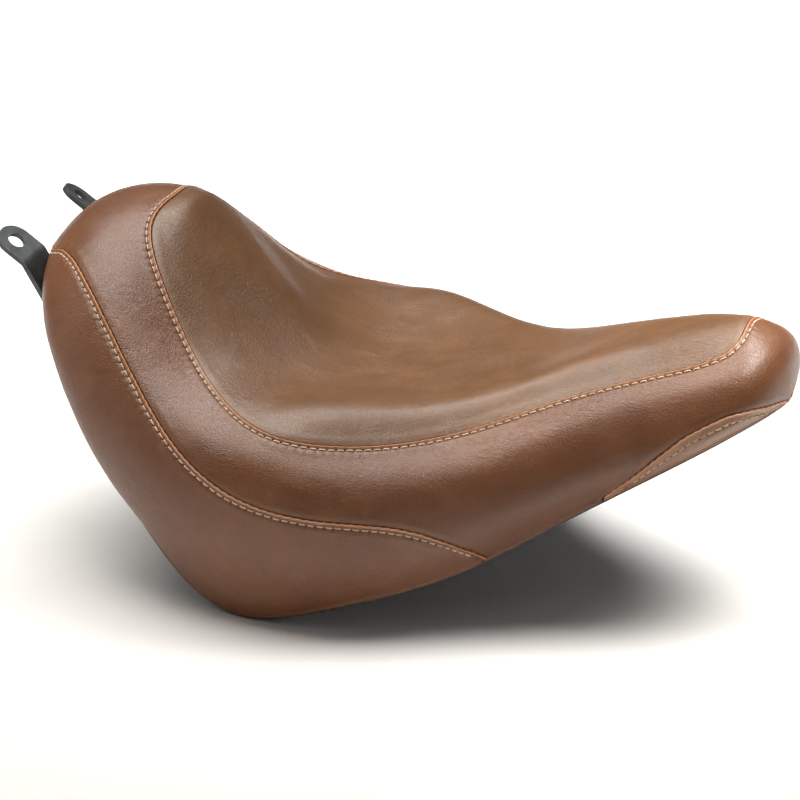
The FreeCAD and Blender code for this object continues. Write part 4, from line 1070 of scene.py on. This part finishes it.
# ------------------------------------------------------------------ what stands for what
for ob, node, slot in ((insert, "cover_seat_insert", "leather_insert"), (band, "cover_side_band", "leather_band"),
                       (skirt, "cover_skirt", "leather_band"), (gussets[0], "cover_nose_gusset_right", "leather_band"),
                       (gussets[1], "cover_nose_gusset_left", "leather_band"), (foam, "foam_core", "foam"),
                       (st1, "thread_insert_seam", "thread"), (st2, "thread_skirt_seam", "thread"),
                       (st3, "thread_nose_seam_right", "thread"), (st4, "thread_nose_seam_left", "thread")):
    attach(ob, "root")
    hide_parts(node)

# ------------------------------------------------------------------ floor, light and camera
def floor():
    n = 40
    xs = np.linspace(-14000, 14000, n)
    g_ = np.stack(np.meshgrid(xs, xs, indexing="ij") + [np.zeros((n, n))], -1)
    g_[..., 2] = -0.4
    idx = np.arange(n * n).reshape(n, n)
    ob = make_mesh("floor", g_.reshape(-1, 3), [quads(idx, False)])
    t = Tree("floor_pale")
    nz = t.noise(3.0, 4)
    t.set(Base_Color=t.mix(t.ramp(nz, 0.3, 0.7), lin(246, 246, 245), lin(240, 240, 239)),
          Roughness=t.ramp(nz, 0.3, 0.7, 0.85, 0.95))
    dress(ob, t.mat)
    return ob


floor()


def area(name, loc, target, size, power, colour=(1, 1, 1)):
    l = bpy.data.lights.new(name, "AREA")
    l.shape = "RECTANGLE"
    l.size, l.size_y = size
    l.energy = power
    l.color = colour
    o = bpy.data.objects.new(name, l)
    o.location = loc
    o.rotation_euler = (Vector(target) - Vector(loc)).to_track_quat("-Z", "Y").to_euler()
    scene.collection.objects.link(o)
    return o


area("softbox_top", (-0.46, 0.04, 1.57), (0.0, -0.02, 0.1), (1.30, 1.20), 32, (1.0, 0.965, 0.91))
area("softbox_left", (-1.9, -0.7, 0.9), (0.0, 0.0, 0.1), (0.7, 1.2), 3, (1.0, 0.97, 0.93))
area("softbox_nose", (0.45, 0.10, 0.62), (0.30, 0.0, 0.20), (0.34, 0.30), 0.75, (1.0, 0.965, 0.91)).data.spread = math.radians(60)
area("floor_wash", (-0.60, 1.45, 1.9), (-0.60, 1.30, 0.0), (2.6, 1.3), 30).data.spread = math.radians(70)
world = bpy.data.worlds.new("studio")
world.use_nodes = True
bg = world.node_tree.nodes["Background"]
bg.inputs[0].default_value = (1.0, 0.985, 0.965, 1.0)
bg.inputs[1].default_value = 0.16
scene.world = world

A, E_, D = math.radians(21.1006), math.radians(21.0003), 3.4975
back = Vector((math.sin(A) * math.cos(E_), -math.cos(A) * math.cos(E_), math.sin(E_)))
right = Vector((math.cos(A), math.sin(A), 0))
up = back.cross(right)
cam = bpy.data.cameras.new("view")
cam.lens = 1.32853 * 3497.5 / 800 * 36
cam.sensor_width = 36
cam.clip_end = 100
co = bpy.data.objects.new("view", cam)
m = Matrix((right, up, back)).transposed().to_4x4()
m.translation = Vector((-0.0019, 0, 0.11898)) + back * D
co.matrix_world = m
scene.collection.objects.link(co)
scene.camera = co
scene.view_settings.view_transform = "Standard"
scene.view_settings.look = "None"
